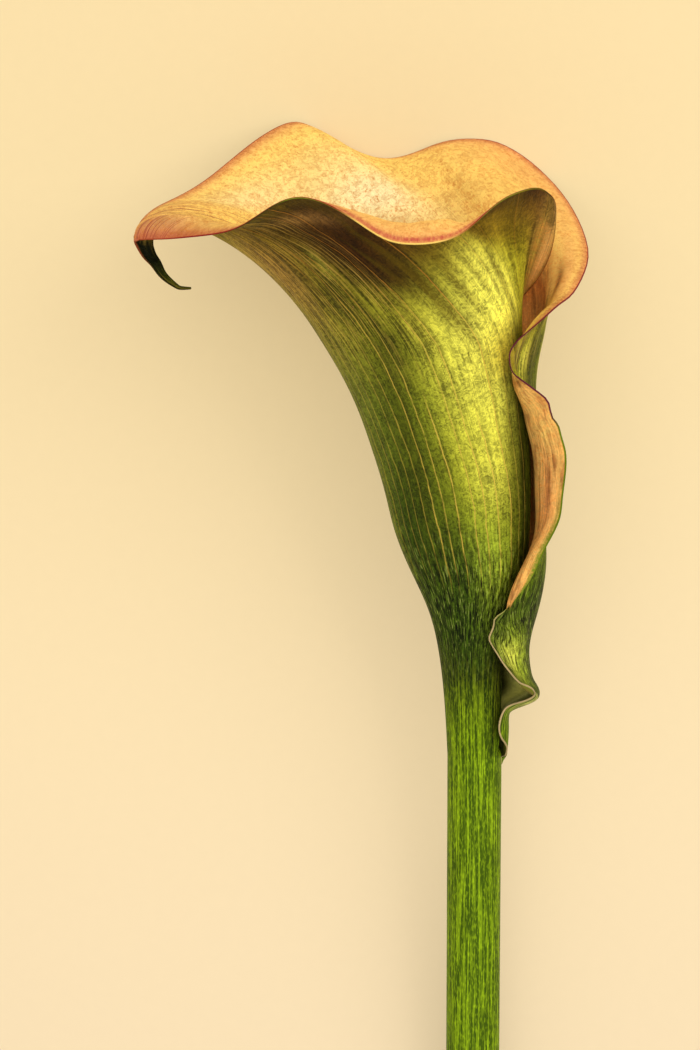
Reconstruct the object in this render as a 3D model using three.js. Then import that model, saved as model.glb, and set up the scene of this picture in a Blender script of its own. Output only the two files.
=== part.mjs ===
// A calla lily flower cut with its stem, lying on its side on a flat surface.
//
// Millimetres, +Z up. The stem runs along Y with the flower at +Y, and the side of the flower that was
// looked at faces up. The origin lies under the middle of the bounding box, on the surface.
//
// Three pieces: the stem with its cut end, the spathe (one blade, rolled into a funnel, whose two margins
// overlap on the right and whose tip ends in a hooked tail), and the spadix that stands on the stem's top
// inside the funnel.
//
// Places on the flower are named by where they are seen from VIEW_DISTANCE above, in steps of SEEN_STEP
// from the top left corner of the field of view, and by their depth. Round the funnel a vein is named by
// its angle at the throat: 0 right, 90 up towards the viewer, 180 left at the tip, 270 down, 360 right
// again under the inner margin, and LAST_VEIN at the free outer margin.

import * as THREE from 'three';

// ---- Driving dimensions ------------------------------------------------------------------------------

const SEEN_STEP = 0.2;                 // size of one step of the field of view, at VIEW_PLANE
const SEEN_CENTRE = [350, 525];        // step under the viewer
const VIEW_DISTANCE = 900;             // height of the viewer above VIEW_PLANE
const VIEW_PLANE = 36;                 // height at which one step is exactly SEEN_STEP

const STEM_RADIUS = 5.35;              // near the cut
const STEM_TOP_RADIUS = 5.5;           // just under the spathe
const STEM_END_Y = -219;               // cut end
const STEM_REST_Y = -200;              // from the cut to here the stem lies flat
const STEM_TOP_LEAN = 11.5;            // degrees that the stem has risen by at the spathe
const STEM_SIDES = 24;
const STEM_DRIFT = 0.03;               // sideways drift of the stem for each mm of its length
const STEM_RINGS = [-200, -175, -150, -125, -100, -80, -62];
const UNDERSIDE = 0.15;                // height of the stem's underside before it is shaved
const CUT_SLANT = 0.16;                // rise of the cut face across the stem
const CUT_ROUND = 0.35;                // rounding of the cut edge
const NECK_RADIUS = 4.15;              // stem inside the spathe's sheathing base
const NECK_TOP_LEVEL = 668;
const JOIN_GAP = 0.3;                  // clearance between neighbouring pieces

const BLADE_BASE = 0.95;               // thickness of the spathe at its base
const BLADE_RIM = 0.7;                 // and along its rim
const RIM_OUTWARD = 0.75;              // share of it that lies outside the surface seen there
const TAIL_WALL = 0.62;                // and in the tail
const SHAVED = 0.4;                    // height taken off the lowest points, which makes them small flats

const SPADIX_RADIUS = 3.9;
const SPADIX_TAPER = 0.18;             // share of its radius lost towards the top
const SPADIX_CROWN = 0.2;              // share of its length that the blunt top takes
const SPADIX_TOP_LEVEL = 415;
const SPADIX_SIDES = 18;
const SPADIX_ROWS = 30;
const FLORET_RELIEF = 0.16;            // florets stand this far proud of the rows between them

// Funnel: level and middle (steps down and across), then the radius in steps at 0, 90, 180, 270 and 360.
const FUNNEL = [
  [330, 437.0, 85, 104, 122, 110, 108],
  [370, 446.0, 78, 93, 107, 98, 91],
  [410, 453.0, 74, 85, 95, 90, 84],
  [450, 460.0, 70, 79, 88, 83, 81],
  [490, 465.0, 66, 74, 81, 78, 78],
  [530, 470.0, 60, 67, 76, 72, 76],
  [570, 475.0, 51, 57, 65, 63, 71],
  [610, 475.0, 40, 44, 47, 51, 63.5],
  [650, 474.0, 31, 34, 36, 41, 56],
  [690, 474.0, 28, 29, 31, 34, 50],
  [725, 474.0, 27, 27.5, 29, 30, 35.5],
  [755, 474.5, 27, 27, 28, 28, 33],
];
const BASE_LEVEL = 755;

// The inner margin, hidden in the roll, and the line where the outer side stops following the roll:
// level, and the angle there.
const INNER_MARGIN = [[330, -28], [450, -28], [600, -28], [650, -25], [690, -17], [725, 10], [755, 36]];
const ROLL_END = [
  [330, 395], [450, 395], [560, 395], [625, 395], [650, 395], [664, 392], [676, 384], [686, 374],
  [694, 365], [702, 364], [709, 370], [717, 375], [728, 376], [738, 370], [746, 366], [755, 362],
];

// The outer margin where it lies free, from the pinch down: level, seen x, seen y, height above the
// middle, and how far the strip runs on round the funnel before it turns to the edge.
const OUTER_MARGIN = [
  [394, 529, 384.8, 15.2, 4], [402, 540, 394, 14.8, 3.5], [412, 549.5, 405, 14, 3],
  [424, 554.5, 422, 13.4, 2.8], [436, 559, 436, 13, 2.8], [448, 563, 448, 13, 2.8],
  [470, 565, 470, 13, 2.8], [505, 563, 505, 13, 3], [530, 557, 530, 13.4, 3.8],
  [560, 541, 560, 13.6, 5.4], [584, 528, 584, 13.2, 5.2], [604, 511, 605, 12.2, 4.6],
  [618, 496.5, 619, 10.8, 4], [627, 494, 627, 10, 3], [638, 489.8, 638.6, 9.4, 2.5],
  [648, 493, 649, 9, 2.2], [662, 501, 662, 8.8, 2], [676, 511, 675, 8.8, 2],
  [686, 524, 687, 8.6, 2.5], [692, 534.5, 694, 7.2, 3], [697, 537, 700, 5, 3],
  [702, 526, 705.5, 4.5, 2.4], [709, 511, 706, 5, 1.8], [717, 503, 715, 5, 1.3],
  [728, 499.7, 729, 4.8, 1], [738, 503, 739, 4.2, 0.8], [746, 507, 747, 3, 0.5],
  [755, 505.5, 756, 1.6, 0.3],
];

// The rim: vein, seen x, seen y, height above RIM_HEIGHT, rise of the blade at its edge (degrees above
// the rim's plane, negative where the lip rolls over), and how strongly it holds that direction.
const RIM_HEIGHT = 43.5;
const RIM = [
  [-28, 558, 208, 12, 85, 1.5], [-18, 555, 199, 14, 80, 1.3], [-8, 547, 192, 17, 65, 1],
  [2, 536, 188, 20, 60, 0.9], [12, 518, 192, 25, 45, 0.9], [22, 496, 204, 30, 20, 0.9],
  [33, 466, 230, 36, -20, 1], [45, 438, 242, 41, -50, 1.1], [60, 410, 244, 42, -55, 1.1],
  [75, 381, 237, 41, -45, 1], [90, 342, 212, 37, -5, 0.9], [103, 300, 197, 31, 25, 0.9],
  [115, 267, 209, 26, 5, 0.9], [127, 240, 226, 20, -15, 0.9], [140, 213, 234, 14, -30, 0.9],
  [152, 187, 237, 9, -40, 0.9], [162, 163, 239, 5.4, -55, 0.9], [168, 146, 239.5, 3.8, -70, 0.8],
  [172, 136.5, 241, 2.1, -80, 0.7], [176, 145, 245, 1.2, -88, 0.75], [180, 153.5, 245, 0, -88, 0.8],
  [184, 146, 244, -1.2, -88, 0.75], [188, 136.5, 240, -2.1, -80, 0.7], [193, 134.6, 236, -3.6, -60, 0.7],
  [200, 138, 226, -6.4, -40, 0.75], [212, 151, 211, -11, -20, 0.8], [228, 173, 199, -16, 0, 0.9],
  [242, 205, 180.5, -23, 5, 0.9], [255, 240, 152.5, -30, 15, 0.9], [268, 272, 130, -36.5, 20, 0.9],
  [277, 296, 122, -40, 15, 0.9], [287, 322, 133, -42.6, 8, 0.8], [297, 351, 149.5, -43.4, 2, 0.7],
  [308, 385, 158.5, -43, -5, 0.7], [320, 420, 150.5, -42.2, 0, 0.8], [330, 450, 140.5, -41.6, 10, 0.9],
  [338, 482, 139.5, -43, 15, 0.9], [346, 512, 150, -44.3, 15, 0.9], [353, 542, 172, -43, 10, 0.9],
  [360, 566, 199, -34.5, 0, 0.9], [366, 581, 226, -23.5, -5, 0.9], [371, 588, 250, -14, -10, 0.9],
  [377, 584, 273, -5, -15, 0.9], [383, 573, 293, 2, -15, 0.9], [389, 561, 303, 6, -10, 0.9],
  [396, 548, 314, 10, 0, 0.9], [404, 533, 327, 13, 20, 0.9], [412, 522, 336, 15, 40, 0.9],
  [420, 513.5, 345, 16.5, 55, 0.9], [426, 509.5, 353, 17, 65, 0.9], [430, 509, 358, 17, 75, 0.9],
];
const MOUTH_CENTRE = [385, 200];       // seen middle of the mouth, at RIM_HEIGHT
const MOUTH_TURN = -0.1;               // the mouth faces a little to the left of the middle line

// Throat, where the funnel opens into the limb: vein and level. Then how strongly each vein leaves it.
const THROAT = [[-28, 330], [120, 330], [240, 330], [340, 335], [375, 350], [400, 374], [430, 394]];
const SWEEP = [[-28, 1], [60, 1], [100, 1.05], [130, 1.55], [155, 1.9], [185, 1.9], [210, 1.6],
  [250, 1.1], [290, 1], [430, 1]];

// The tail at the tip: seen x, seen y, height above RIM_HEIGHT, width in steps.
const TAIL = [
  [144.5, 243, 0, 17], [149.5, 254.5, 0, 14], [155.5, 263.3, 0.4, 12], [161, 272.3, 0.8, 9.5],
  [168, 279.8, 1.2, 7.5], [175.5, 285.5, 1.4, 5.5], [181, 287.9, 1.4, 4.2], [190, 288.2, 1, 2.8],
];
const TAIL_FIRST_VEIN = 172;
const TIP_VEIN = 180;
const TAIL_LAST_VEIN = 188;
const TAIL_ROWS = 9;
const TAIL_REACH = [8, 22];            // veins off the tip over which the blade thins into the tail
const TAIL_LIPS = [0.14, 0.86];        // where the horn's filled back starts and ends across its fold

const FIRST_VEIN = -28;                // inner margin
const STRIP_VEIN = 395;                // from here the blade runs on as the free strip
const LAST_VEIN = 430;                 // outer margin
const VEIN_SPACING = 7;
const MARGIN_TURN = [100, 70];         // veins beside each margin that turn with it
const TAIL_CELLS = 4;
const STRIP_CELLS = 6;
const LIMB_ROWS = 12;
const FUNNEL_ROWS = [755, 738, 728, 717, 707, 698, 690, 680, 662, 640, 618, 600, 575, 545, 505, 465, 430,
  410, 394];                           // levels of the rows, read at the outer margin

// ---- Small helpers -----------------------------------------------------------------------------------

const radians = THREE.MathUtils.degToRad;
const vector = (x, y, z) => new THREE.Vector3(x, y, z);

/** Point seen at steps (sx, sy) whose height is z. */
function seen(sx, sy, z) {
  const nearer = SEEN_STEP * (1 - (z - VIEW_PLANE) / VIEW_DISTANCE);
  return vector((sx - SEEN_CENTRE[0]) * nearer, (SEEN_CENTRE[1] - sy) * nearer, z);
}

/** Natural cubic spline through rows [t, a, b, ...]; returns t => [a, b, ...]. */
function spline(rows) {
  const last = rows.length - 1;
  const step = rows.slice(1).map((row, i) => row[0] - rows[i][0]);
  const bends = rows[0].slice(1).map((_, c) => {
    const value = (i) => rows[i][c + 1];
    const reduced = [0];
    const target = [0];
    for (let i = 1; i < last; i += 1) {
      const slope = (value(i + 1) - value(i)) / step[i] - (value(i) - value(i - 1)) / step[i - 1];
      const pivot = 2 * (step[i - 1] + step[i]) - step[i - 1] * reduced[i - 1];
      reduced.push(step[i] / pivot);
      target.push((6 * slope - step[i - 1] * target[i - 1]) / pivot);
    }
    const bend = new Array(last + 1).fill(0);
    for (let i = last - 1; i > 0; i -= 1) bend[i] = target[i] - reduced[i] * bend[i + 1];
    return bend;
  });
  return (t) => {
    const at = THREE.MathUtils.clamp(t, rows[0][0], rows[last][0]);
    let i = 0;
    while (i < last - 1 && at > rows[i + 1][0]) i += 1;
    const width = step[i];
    const a = rows[i + 1][0] - at;
    const b = at - rows[i][0];
    return bends.map((bend, c) => (bend[i] * a ** 3 + bend[i + 1] * b ** 3) / (6 * width)
      + (rows[i][c + 1] / width - bend[i] * width / 6) * a
      + (rows[i + 1][c + 1] / width - bend[i + 1] * width / 6) * b);
  };
}

// ---- The flower's middle line ------------------------------------------------------------------------

const BLADE_BASE_Y = (SEEN_CENTRE[1] - BASE_LEVEL) * SEEN_STEP;
const TOP_LEAN = radians(STEM_TOP_LEAN);

/** Angle that the middle line makes with the surface at y: none at the cut, TOP_LEAN in the flower. */
function leanAt(y) {
  const part = (y - STEM_REST_Y) / (BLADE_BASE_Y - STEM_REST_Y);
  return THREE.MathUtils.clamp(part, 0, 1) * TOP_LEAN;
}

/** Height of the middle line at y: a parabola up the stem, then straight on. */
function middleHeight(y) {
  const run = BLADE_BASE_Y - STEM_REST_Y;
  const part = THREE.MathUtils.clamp((y - STEM_REST_Y) / run, 0, 1);
  const slope = Math.tan(TOP_LEAN);
  const straight = Math.max(y - BLADE_BASE_Y, 0);
  return STEM_RADIUS + UNDERSIDE + slope * (run * part * part / 2 + straight);
}

/** Point at an angle and a radius round the middle line, seen at height y. */
function around(y, seenX, angle, radius) {
  const height = middleHeight(y);
  const lean = leanAt(y);
  const nearer = 1 - (height - VIEW_PLANE) / VIEW_DISTANCE;
  const out = radius * Math.sin(angle);
  return vector((seenX - SEEN_CENTRE[0]) * SEEN_STEP * nearer + radius * Math.cos(angle),
    y * nearer - out * Math.sin(lean), height + out * Math.cos(lean));
}

// ---- The spathe's outer surface ----------------------------------------------------------------------

const funnel = spline(FUNNEL);
const innerMargin = spline(INNER_MARGIN);
const rollEnd = spline(ROLL_END);
const throat = spline(THROAT);
const sweep = spline(SWEEP);
const outerMargin = spline(OUTER_MARGIN.map(([level, sx, sy, height, run]) => {
  const y = (SEEN_CENTRE[1] - sy) * SEEN_STEP;
  return [level, ...seen(sx, sy, middleHeight(y) + height).toArray(), run];
}));
const rim = spline(RIM.map(([vein, sx, sy, height, rise, hold]) => (
  [vein, ...seen(sx, sy, RIM_HEIGHT + height).toArray(), rise, hold])));

/** Angle of a vein at a level: the veins on either side turn with the margin there. */
function veinAngle(vein, level) {
  const innerShare = 1 - THREE.MathUtils.smoothstep(vein, FIRST_VEIN, FIRST_VEIN + MARGIN_TURN[0]);
  const outerShare = THREE.MathUtils.smoothstep(vein, STRIP_VEIN - MARGIN_TURN[1], STRIP_VEIN);
  return vein + (innerMargin(level)[0] - FIRST_VEIN) * innerShare
    + (rollEnd(level)[0] - STRIP_VEIN) * outerShare;
}

/** Point of the rolled funnel. Its radius swings smoothly between the five that FUNNEL gives. */
function funnelPoint(vein, level) {
  const angle = veinAngle(vein, level);
  const [middle, ...radii] = funnel(level);
  const quarter = THREE.MathUtils.clamp(Math.floor(angle / 90), 0, 3);
  const part = THREE.MathUtils.clamp(angle / 90 - quarter, 0, 1);
  const swing = (1 - Math.cos(Math.PI * part)) / 2;
  const radius = THREE.MathUtils.lerp(radii[quarter], radii[quarter + 1], swing) * SEEN_STEP;
  return around((SEEN_CENTRE[1] - level) * SEEN_STEP, middle, radians(angle), radius);
}

/** Point of the funnel or, past STRIP_VEIN, of the strip that leaves it smoothly for the outer margin. */
function bladePoint(vein, level) {
  const root = funnelPoint(Math.min(vein, STRIP_VEIN), level);
  if (vein <= STRIP_VEIN) return root;
  const [x, y, z, run] = outerMargin(level);
  const along = root.clone().sub(funnelPoint(STRIP_VEIN - 0.5, level)).normalize();
  const knee = root.clone().addScaledVector(along, run);
  const part = (vein - STRIP_VEIN) / (LAST_VEIN - STRIP_VEIN);
  return root.multiplyScalar((1 - part) ** 2)
    .addScaledVector(knee, 2 * part * (1 - part))
    .addScaledVector(vector(x, y, z), part * part);
}

const MOUTH = seen(...MOUTH_CENTRE, RIM_HEIGHT);
const MOUTH_AXIS = vector(MOUTH_TURN, Math.cos(TOP_LEAN), Math.sin(TOP_LEAN)).normalize();
const flatten = (v) => v.addScaledVector(MOUTH_AXIS, -v.dot(MOUTH_AXIS)).normalize();

/** The limb along one vein, as a function of the part of the way from the throat to the rim. */
function limbCurve(vein) {
  const level = throat(vein)[0];
  const start = bladePoint(vein, level);
  const leave = start.clone().sub(bladePoint(vein, level + 4)).normalize();
  const [x, y, z, rise, hold] = rim(vein);
  const end = vector(x, y, z);
  const chord = end.clone().sub(start);
  const length = chord.length();
  const out = flatten(end.clone().sub(MOUTH)).add(flatten(chord)).normalize();
  const arrive = out.multiplyScalar(Math.cos(radians(rise)))
    .addScaledVector(MOUTH_AXIS, Math.sin(radians(rise)));
  leave.multiplyScalar(length * sweep(vein)[0]);
  arrive.multiplyScalar(length * hold);
  return (f) => start.clone().multiplyScalar(2 * f ** 3 - 3 * f ** 2 + 1)
    .addScaledVector(leave, f ** 3 - 2 * f ** 2 + f)
    .addScaledVector(end, 3 * f ** 2 - 2 * f ** 3)
    .addScaledVector(arrive, f ** 3 - f ** 2);
}

/** Veins of the columns, evenly spaced between the margins, the tail and the strip. */
function columnVeins() {
  const spread = (from, to, cells) => Array.from({ length: cells }, (_, i) => from + (to - from) * i / cells);
  const cellsFor = (from, to) => Math.round((to - from) / VEIN_SPACING);
  return [
    ...spread(FIRST_VEIN, TAIL_FIRST_VEIN, cellsFor(FIRST_VEIN, TAIL_FIRST_VEIN)),
    ...spread(TAIL_FIRST_VEIN, TAIL_LAST_VEIN, TAIL_CELLS),
    ...spread(TAIL_LAST_VEIN, STRIP_VEIN, cellsFor(TAIL_LAST_VEIN, STRIP_VEIN)),
    ...spread(STRIP_VEIN, LAST_VEIN, STRIP_CELLS),
    LAST_VEIN,
  ];
}

/** One column of points from the base to the rim. */
function column(vein) {
  const top = throat(vein)[0];
  const lowest = FUNNEL_ROWS[FUNNEL_ROWS.length - 1];
  const points = FUNNEL_ROWS.map((row) => {
    const part = (BASE_LEVEL - row) / (BASE_LEVEL - lowest);
    return bladePoint(vein, BASE_LEVEL + (top - BASE_LEVEL) * part);
  });
  const limb = limbCurve(vein);
  for (let i = 1; i <= LIMB_ROWS; i += 1) points.push(limb(i / LIMB_ROWS));
  return points;
}

/** Rows of the tail: the tip's folded section carried along the hook, turning and shrinking with it. */
function tailRows(section) {
  const path = TAIL.map(([sx, sy, height]) => seen(sx, sy, RIM_HEIGHT + height));
  const hook = spline(path.map((p, i) => [i / (path.length - 1), ...p.toArray(), TAIL[i][3] / TAIL[0][3]]));
  const heading = (s) => {
    const [x0, y0] = hook(s - 0.01);
    const [x1, y1] = hook(s + 0.01);
    return Math.atan2(y1 - y0, x1 - x0);
  };
  const up = vector(0, 0, 1);
  return Array.from({ length: TAIL_ROWS }, (_, i) => {
    const s = (i + 1) / TAIL_ROWS;
    const [x, y, z, width] = hook(s);
    return section.map((p) => p.clone().sub(path[0]).applyAxisAngle(up, heading(s) - heading(0))
      .multiplyScalar(width).add(vector(x, y, z)));
  });
}

// ---- Solids ------------------------------------------------------------------------------------------

/** Geometry from a list of points and triples of indices. Points below the shaved height are raised. */
function solid(points, faces) {
  const geometry = new THREE.BufferGeometry();
  const coordinates = points.flatMap((p) => [p.x, p.y, Math.max(p.z, SHAVED)]);
  geometry.setAttribute('position', new THREE.Float32BufferAttribute(coordinates, 3));
  geometry.setIndex(faces.flat());
  geometry.computeVertexNormals();
  return geometry;
}

/** Two triangles of a cell, parted along its shorter diagonal. */
function cell(points, a, b, c, d) {
  return points[a].distanceTo(points[c]) < points[b].distanceTo(points[d])
    ? [[a, b, c], [a, c, d]]
    : [[a, b, d], [b, c, d]];
}

/** The spathe as a blade: its outer surface, the same surface pushed inwards, and a wall along the edge. */
function spatheGeometry() {
  const veins = columnVeins();
  const columns = veins.map(column);
  const rows = columns[0].length;
  const across = veins.length;
  const surface = [];
  const wall = [];
  const outward = [];
  for (let i = 0; i < rows; i += 1) {
    const part = i / (rows - 1);
    for (let j = 0; j < across; j += 1) {
      surface.push(columns[j][i]);
      const intoTail = THREE.MathUtils.smoothstep(Math.abs(veins[j] - TIP_VEIN), ...TAIL_REACH);
      const blade = THREE.MathUtils.lerp(BLADE_BASE, BLADE_RIM, part);
      wall.push(THREE.MathUtils.lerp(TAIL_WALL, blade, Math.max(intoTail, 1 - part * part)));
      const limb = Math.max(0, i - FUNNEL_ROWS.length + 1) / LIMB_ROWS;
      outward.push(THREE.MathUtils.smoothstep(limb, 0, 1) * intoTail * RIM_OUTWARD);
    }
  }
  const faces = [];
  for (let i = 0; i + 1 < rows; i += 1) {
    for (let j = 0; j + 1 < across; j += 1) {
      const a = i * across + j;
      faces.push(...cell(surface, a, a + across, a + across + 1, a + 1));
    }
  }
  const first = veins.indexOf(TAIL_FIRST_VEIN);
  const section = Array.from({ length: TAIL_CELLS + 1 }, (_, k) => (rows - 1) * across + first + k);
  let previous = section;
  for (const points of tailRows(section.map((k) => surface[k]))) {
    const next = points.map((_, k) => surface.length + k);
    surface.push(...points);
    wall.push(...points.map(() => TAIL_WALL));
    outward.push(...points.map(() => 0));
    for (let k = 0; k < TAIL_CELLS; k += 1) {
      faces.push(...cell(surface, previous[k], next[k], next[k + 1], previous[k + 1]));
    }
    previous = next;
  }
  const outer = pushedIn(surface, faces, wall.map((w, k) => -w * outward[k]));
  const inner = pushedIn(surface, faces, wall.map((w, k) => w * (1 - outward[k])));
  fillTail(outer, inner, rows * across);
  return solid([...outer, ...inner], [...faces, ...backAndWall(faces, outer.length)]);
}

/** Points moved inwards, against their surface normal, by the depth given for each. */
function pushedIn(points, faces, depth) {
  const normals = points.map(() => vector(0, 0, 0));
  for (const [a, b, c] of faces) {
    const normal = points[b].clone().sub(points[a]).cross(points[c].clone().sub(points[a]));
    for (const k of [a, b, c]) normals[k].add(normal);
  }
  return points.map((p, k) => p.clone().addScaledVector(normals[k].normalize(), -depth[k]));
}

/** Turns the tail's hollow fold into a solid horn: its inner points move to the fold's open side. */
function fillTail(outer, inner, start) {
  const width = TAIL_CELLS + 1;
  for (let row = 0; row < TAIL_ROWS; row += 1) {
    const base = start + row * width;
    const near = outer[base];
    const far = outer[base + TAIL_CELLS];
    const share = THREE.MathUtils.smoothstep(row + 1, 0, 4);
    for (let k = 0; k < width; k += 1) {
      const chord = near.clone().lerp(far, THREE.MathUtils.lerp(...TAIL_LIPS, k / TAIL_CELLS));
      inner[base + k].lerp(chord, share);
    }
  }
}

/** Faces of the inner surface, turned over, and of the wall along every edge that has one face only. */
function backAndWall(faces, count) {
  const edges = new Set(faces.flatMap(([a, b, c]) => [`${a} ${b}`, `${b} ${c}`, `${c} ${a}`]));
  const more = faces.map(([a, b, c]) => [a + count, c + count, b + count]);
  for (const edge of edges) {
    const [u, v] = edge.split(' ').map(Number);
    if (!edges.has(`${v} ${u}`)) more.push([v, u, u + count], [v, u + count, v + count]);
  }
  return more;
}

/** Closed skin over rings of points, with a flat fan over each end. */
function skinGeometry(rings) {
  const sides = rings[0].length;
  const middleOf = (ring) => ring.reduce((sum, p) => sum.add(p), vector(0, 0, 0)).divideScalar(sides);
  const points = [...rings.flat(), middleOf(rings[0]), middleOf(rings[rings.length - 1])];
  const faces = [];
  for (let i = 0; i + 1 < rings.length; i += 1) {
    for (let j = 0; j < sides; j += 1) {
      const a = i * sides + j;
      const b = i * sides + (j + 1) % sides;
      faces.push([a, a + sides, b + sides], [a, b + sides, b]);
    }
  }
  const top = (rings.length - 1) * sides;
  for (let j = 0; j < sides; j += 1) {
    faces.push([points.length - 2, j, (j + 1) % sides]);
    faces.push([points.length - 1, top + (j + 1) % sides, top + j]);
  }
  return solid(points, faces);
}

/** Ring round the middle line at y. */
function ring(y, seenX, sides, radiusAt, slant = 0) {
  return Array.from({ length: sides }, (_, j) => {
    const angle = (j + 0.5) / sides * 2 * Math.PI;
    const point = around(y, seenX, angle, radiusAt(j));
    point.y += slant * (point.z - middleHeight(y));
    return point;
  });
}

/** The stem: cut end, shaft, shoulder under the spathe and the neck inside it. */
function stemGeometry() {
  const shoulderY = BLADE_BASE_Y - JOIN_GAP;
  const seenMiddle = (y) => FUNNEL[FUNNEL.length - 1][1] + (y - BLADE_BASE_Y) * STEM_DRIFT;
  const radiusAt = (y) => {
    const part = (y - STEM_END_Y) / (BLADE_BASE_Y - STEM_END_Y);
    return THREE.MathUtils.lerp(STEM_RADIUS, STEM_TOP_RADIUS, part);
  };
  const cutEnd = [STEM_END_Y, STEM_END_Y + 1];
  const rings = [
    ring(cutEnd[0], seenMiddle(cutEnd[0]), STEM_SIDES, () => STEM_RADIUS - CUT_ROUND, CUT_SLANT),
    ring(cutEnd[1], seenMiddle(cutEnd[1]), STEM_SIDES, () => STEM_RADIUS, CUT_SLANT),
  ];
  for (const y of [...STEM_RINGS, shoulderY]) {
    rings.push(ring(y, seenMiddle(y), STEM_SIDES, () => radiusAt(y)));
  }
  const neckTopY = (SEEN_CENTRE[1] - NECK_TOP_LEVEL) * SEEN_STEP;
  for (const y of [shoulderY, (shoulderY + neckTopY) / 2, neckTopY]) {
    rings.push(ring(y, seenMiddle(shoulderY), STEM_SIDES, () => NECK_RADIUS));
  }
  return skinGeometry(rings);
}

/** The spadix: a blunt finger covered with florets, which stand in alternate rows. */
function spadixGeometry() {
  const rings = [];
  const from = NECK_TOP_LEVEL - JOIN_GAP / SEEN_STEP;
  for (let i = 0; i <= SPADIX_ROWS; i += 1) {
    const part = i / SPADIX_ROWS;
    const level = THREE.MathUtils.lerp(from, SPADIX_TOP_LEVEL, part);
    const crown = Math.max(0, part - 1 + SPADIX_CROWN) / SPADIX_CROWN;
    const taper = Math.sqrt(1 - (0.98 * crown) ** 2);
    const radius = SPADIX_RADIUS * (1 - SPADIX_TAPER * part) * taper;
    const relief = FLORET_RELIEF * taper;
    const middle = funnel(level)[0];
    rings.push(ring((SEEN_CENTRE[1] - level) * SEEN_STEP, middle, SPADIX_SIDES,
      (j) => radius + ((i + j) % 2 ? relief : -relief)));
  }
  return skinGeometry(rings);
}

// ---- The flower --------------------------------------------------------------------------------------

const flower = new THREE.Group();

function addPiece(name, geometry, color, roughness) {
  const material = new THREE.MeshStandardMaterial({ color, roughness, metalness: 0 });
  const mesh = new THREE.Mesh(geometry, material);
  mesh.name = name;
  flower.add(mesh);
}

addPiece('stem', stemGeometry(), 0x5d8a1f, 0.45);
addPiece('spathe', spatheGeometry(), 0xc9b13a, 0.5);
addPiece('spadix', spadixGeometry(), 0xe8b63a, 0.8);

const box = new THREE.Box3().setFromObject(flower);
const centre = box.getCenter(vector(0, 0, 0));
for (const mesh of flower.children) mesh.geometry.translate(-centre.x, -centre.y, -box.min.z);

export default flower;
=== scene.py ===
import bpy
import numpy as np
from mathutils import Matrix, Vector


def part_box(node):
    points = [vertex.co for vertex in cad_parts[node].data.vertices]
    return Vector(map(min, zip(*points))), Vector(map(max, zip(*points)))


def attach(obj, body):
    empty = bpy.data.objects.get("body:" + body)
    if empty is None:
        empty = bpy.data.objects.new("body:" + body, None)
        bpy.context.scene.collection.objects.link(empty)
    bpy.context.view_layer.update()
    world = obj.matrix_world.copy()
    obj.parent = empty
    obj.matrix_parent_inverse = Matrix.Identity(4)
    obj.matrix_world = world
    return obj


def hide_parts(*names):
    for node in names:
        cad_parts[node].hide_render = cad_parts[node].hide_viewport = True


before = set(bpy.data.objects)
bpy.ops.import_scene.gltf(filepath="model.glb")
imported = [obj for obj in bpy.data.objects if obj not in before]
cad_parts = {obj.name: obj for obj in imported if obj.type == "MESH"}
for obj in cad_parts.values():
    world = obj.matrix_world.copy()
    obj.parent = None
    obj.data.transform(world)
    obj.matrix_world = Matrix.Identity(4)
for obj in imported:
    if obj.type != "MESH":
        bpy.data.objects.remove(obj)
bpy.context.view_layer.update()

# %% [markdown]
# # A calla lily, cut and laid down
#
# A calla looks like one petal on a stalk. The petal is really a leaf, the spathe: it rolls into a funnel
# round a finger of tiny florets, opens into a wide wavy rim, and ends in a hooked tail. This lesson
# builds it from a few tables of places and radii, worked out as whole numpy arrays.
#
# The flower lies on a table and the camera looks straight down at it. Places are named in steps of a
# field of view 700 steps wide and 1050 high, counted from its top left corner, and by their height.

# %% Scale of the view
STEP = 0.2  # mm that one step covers at PLANE
CENTRE = (350.0, 525.0)  # step under the camera
VIEW = 900.0  # mm from the camera down to PLANE
PLANE = 36.0  # mm above the table where a step is exactly STEP


def nearer(z):
    """Size of things at height z, for the camera, as a share of their size at PLANE."""
    return 1 - (np.asarray(z) - PLANE) / VIEW


def seen(sx, sy, z):
    """The point at height z on the sight line through step (sx, sy)."""
    size = STEP * nearer(z)
    return np.stack(np.broadcast_arrays((sx - CENTRE[0]) * size, (CENTRE[1] - sy) * size, z), -1)


# %% [markdown]
# ## Smooth curves through tables
#
# Every long form of a flower is smooth, so each table of places is joined by a natural cubic
# spline. Bezier handles would do the same job, but a spline needs only the places themselves.

# %% Natural cubic spline, and an eased step
def spline(rows):
    """Curve through rows (t, a, b, ...): the cubic pieces share slope and bend at each knot, and the
    bend is nil at both ends. Returns a function of t, whose last axis holds a, b, ..."""
    rows = np.asarray(rows, float)
    t, values = rows[:, 0], rows[:, 1:]
    h = np.diff(t)
    system = np.eye(len(t))
    inner = np.arange(1, len(t) - 1)
    system[inner, inner - 1] = h[:-1]
    system[inner, inner] = 2 * (h[:-1] + h[1:])
    system[inner, inner + 1] = h[1:]
    slopes = np.diff(values, axis=0) / h[:, None]
    target = np.zeros_like(values)
    target[1:-1] = 6 * np.diff(slopes, axis=0)
    bend = np.linalg.solve(system, target)

    def at(where):
        where = np.clip(np.asarray(where, float), t[0], t[-1])
        i = np.clip(np.searchsorted(t, where) - 1, 0, len(t) - 2)
        w = h[i][..., None]
        a, b = (t[i + 1] - where)[..., None], (where - t[i])[..., None]
        return ((bend[i] * a ** 3 + bend[i + 1] * b ** 3) / (6 * w)
                + (values[i] / w - bend[i] * w / 6) * a + (values[i + 1] / w - bend[i + 1] * w / 6) * b)
    return at


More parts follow.
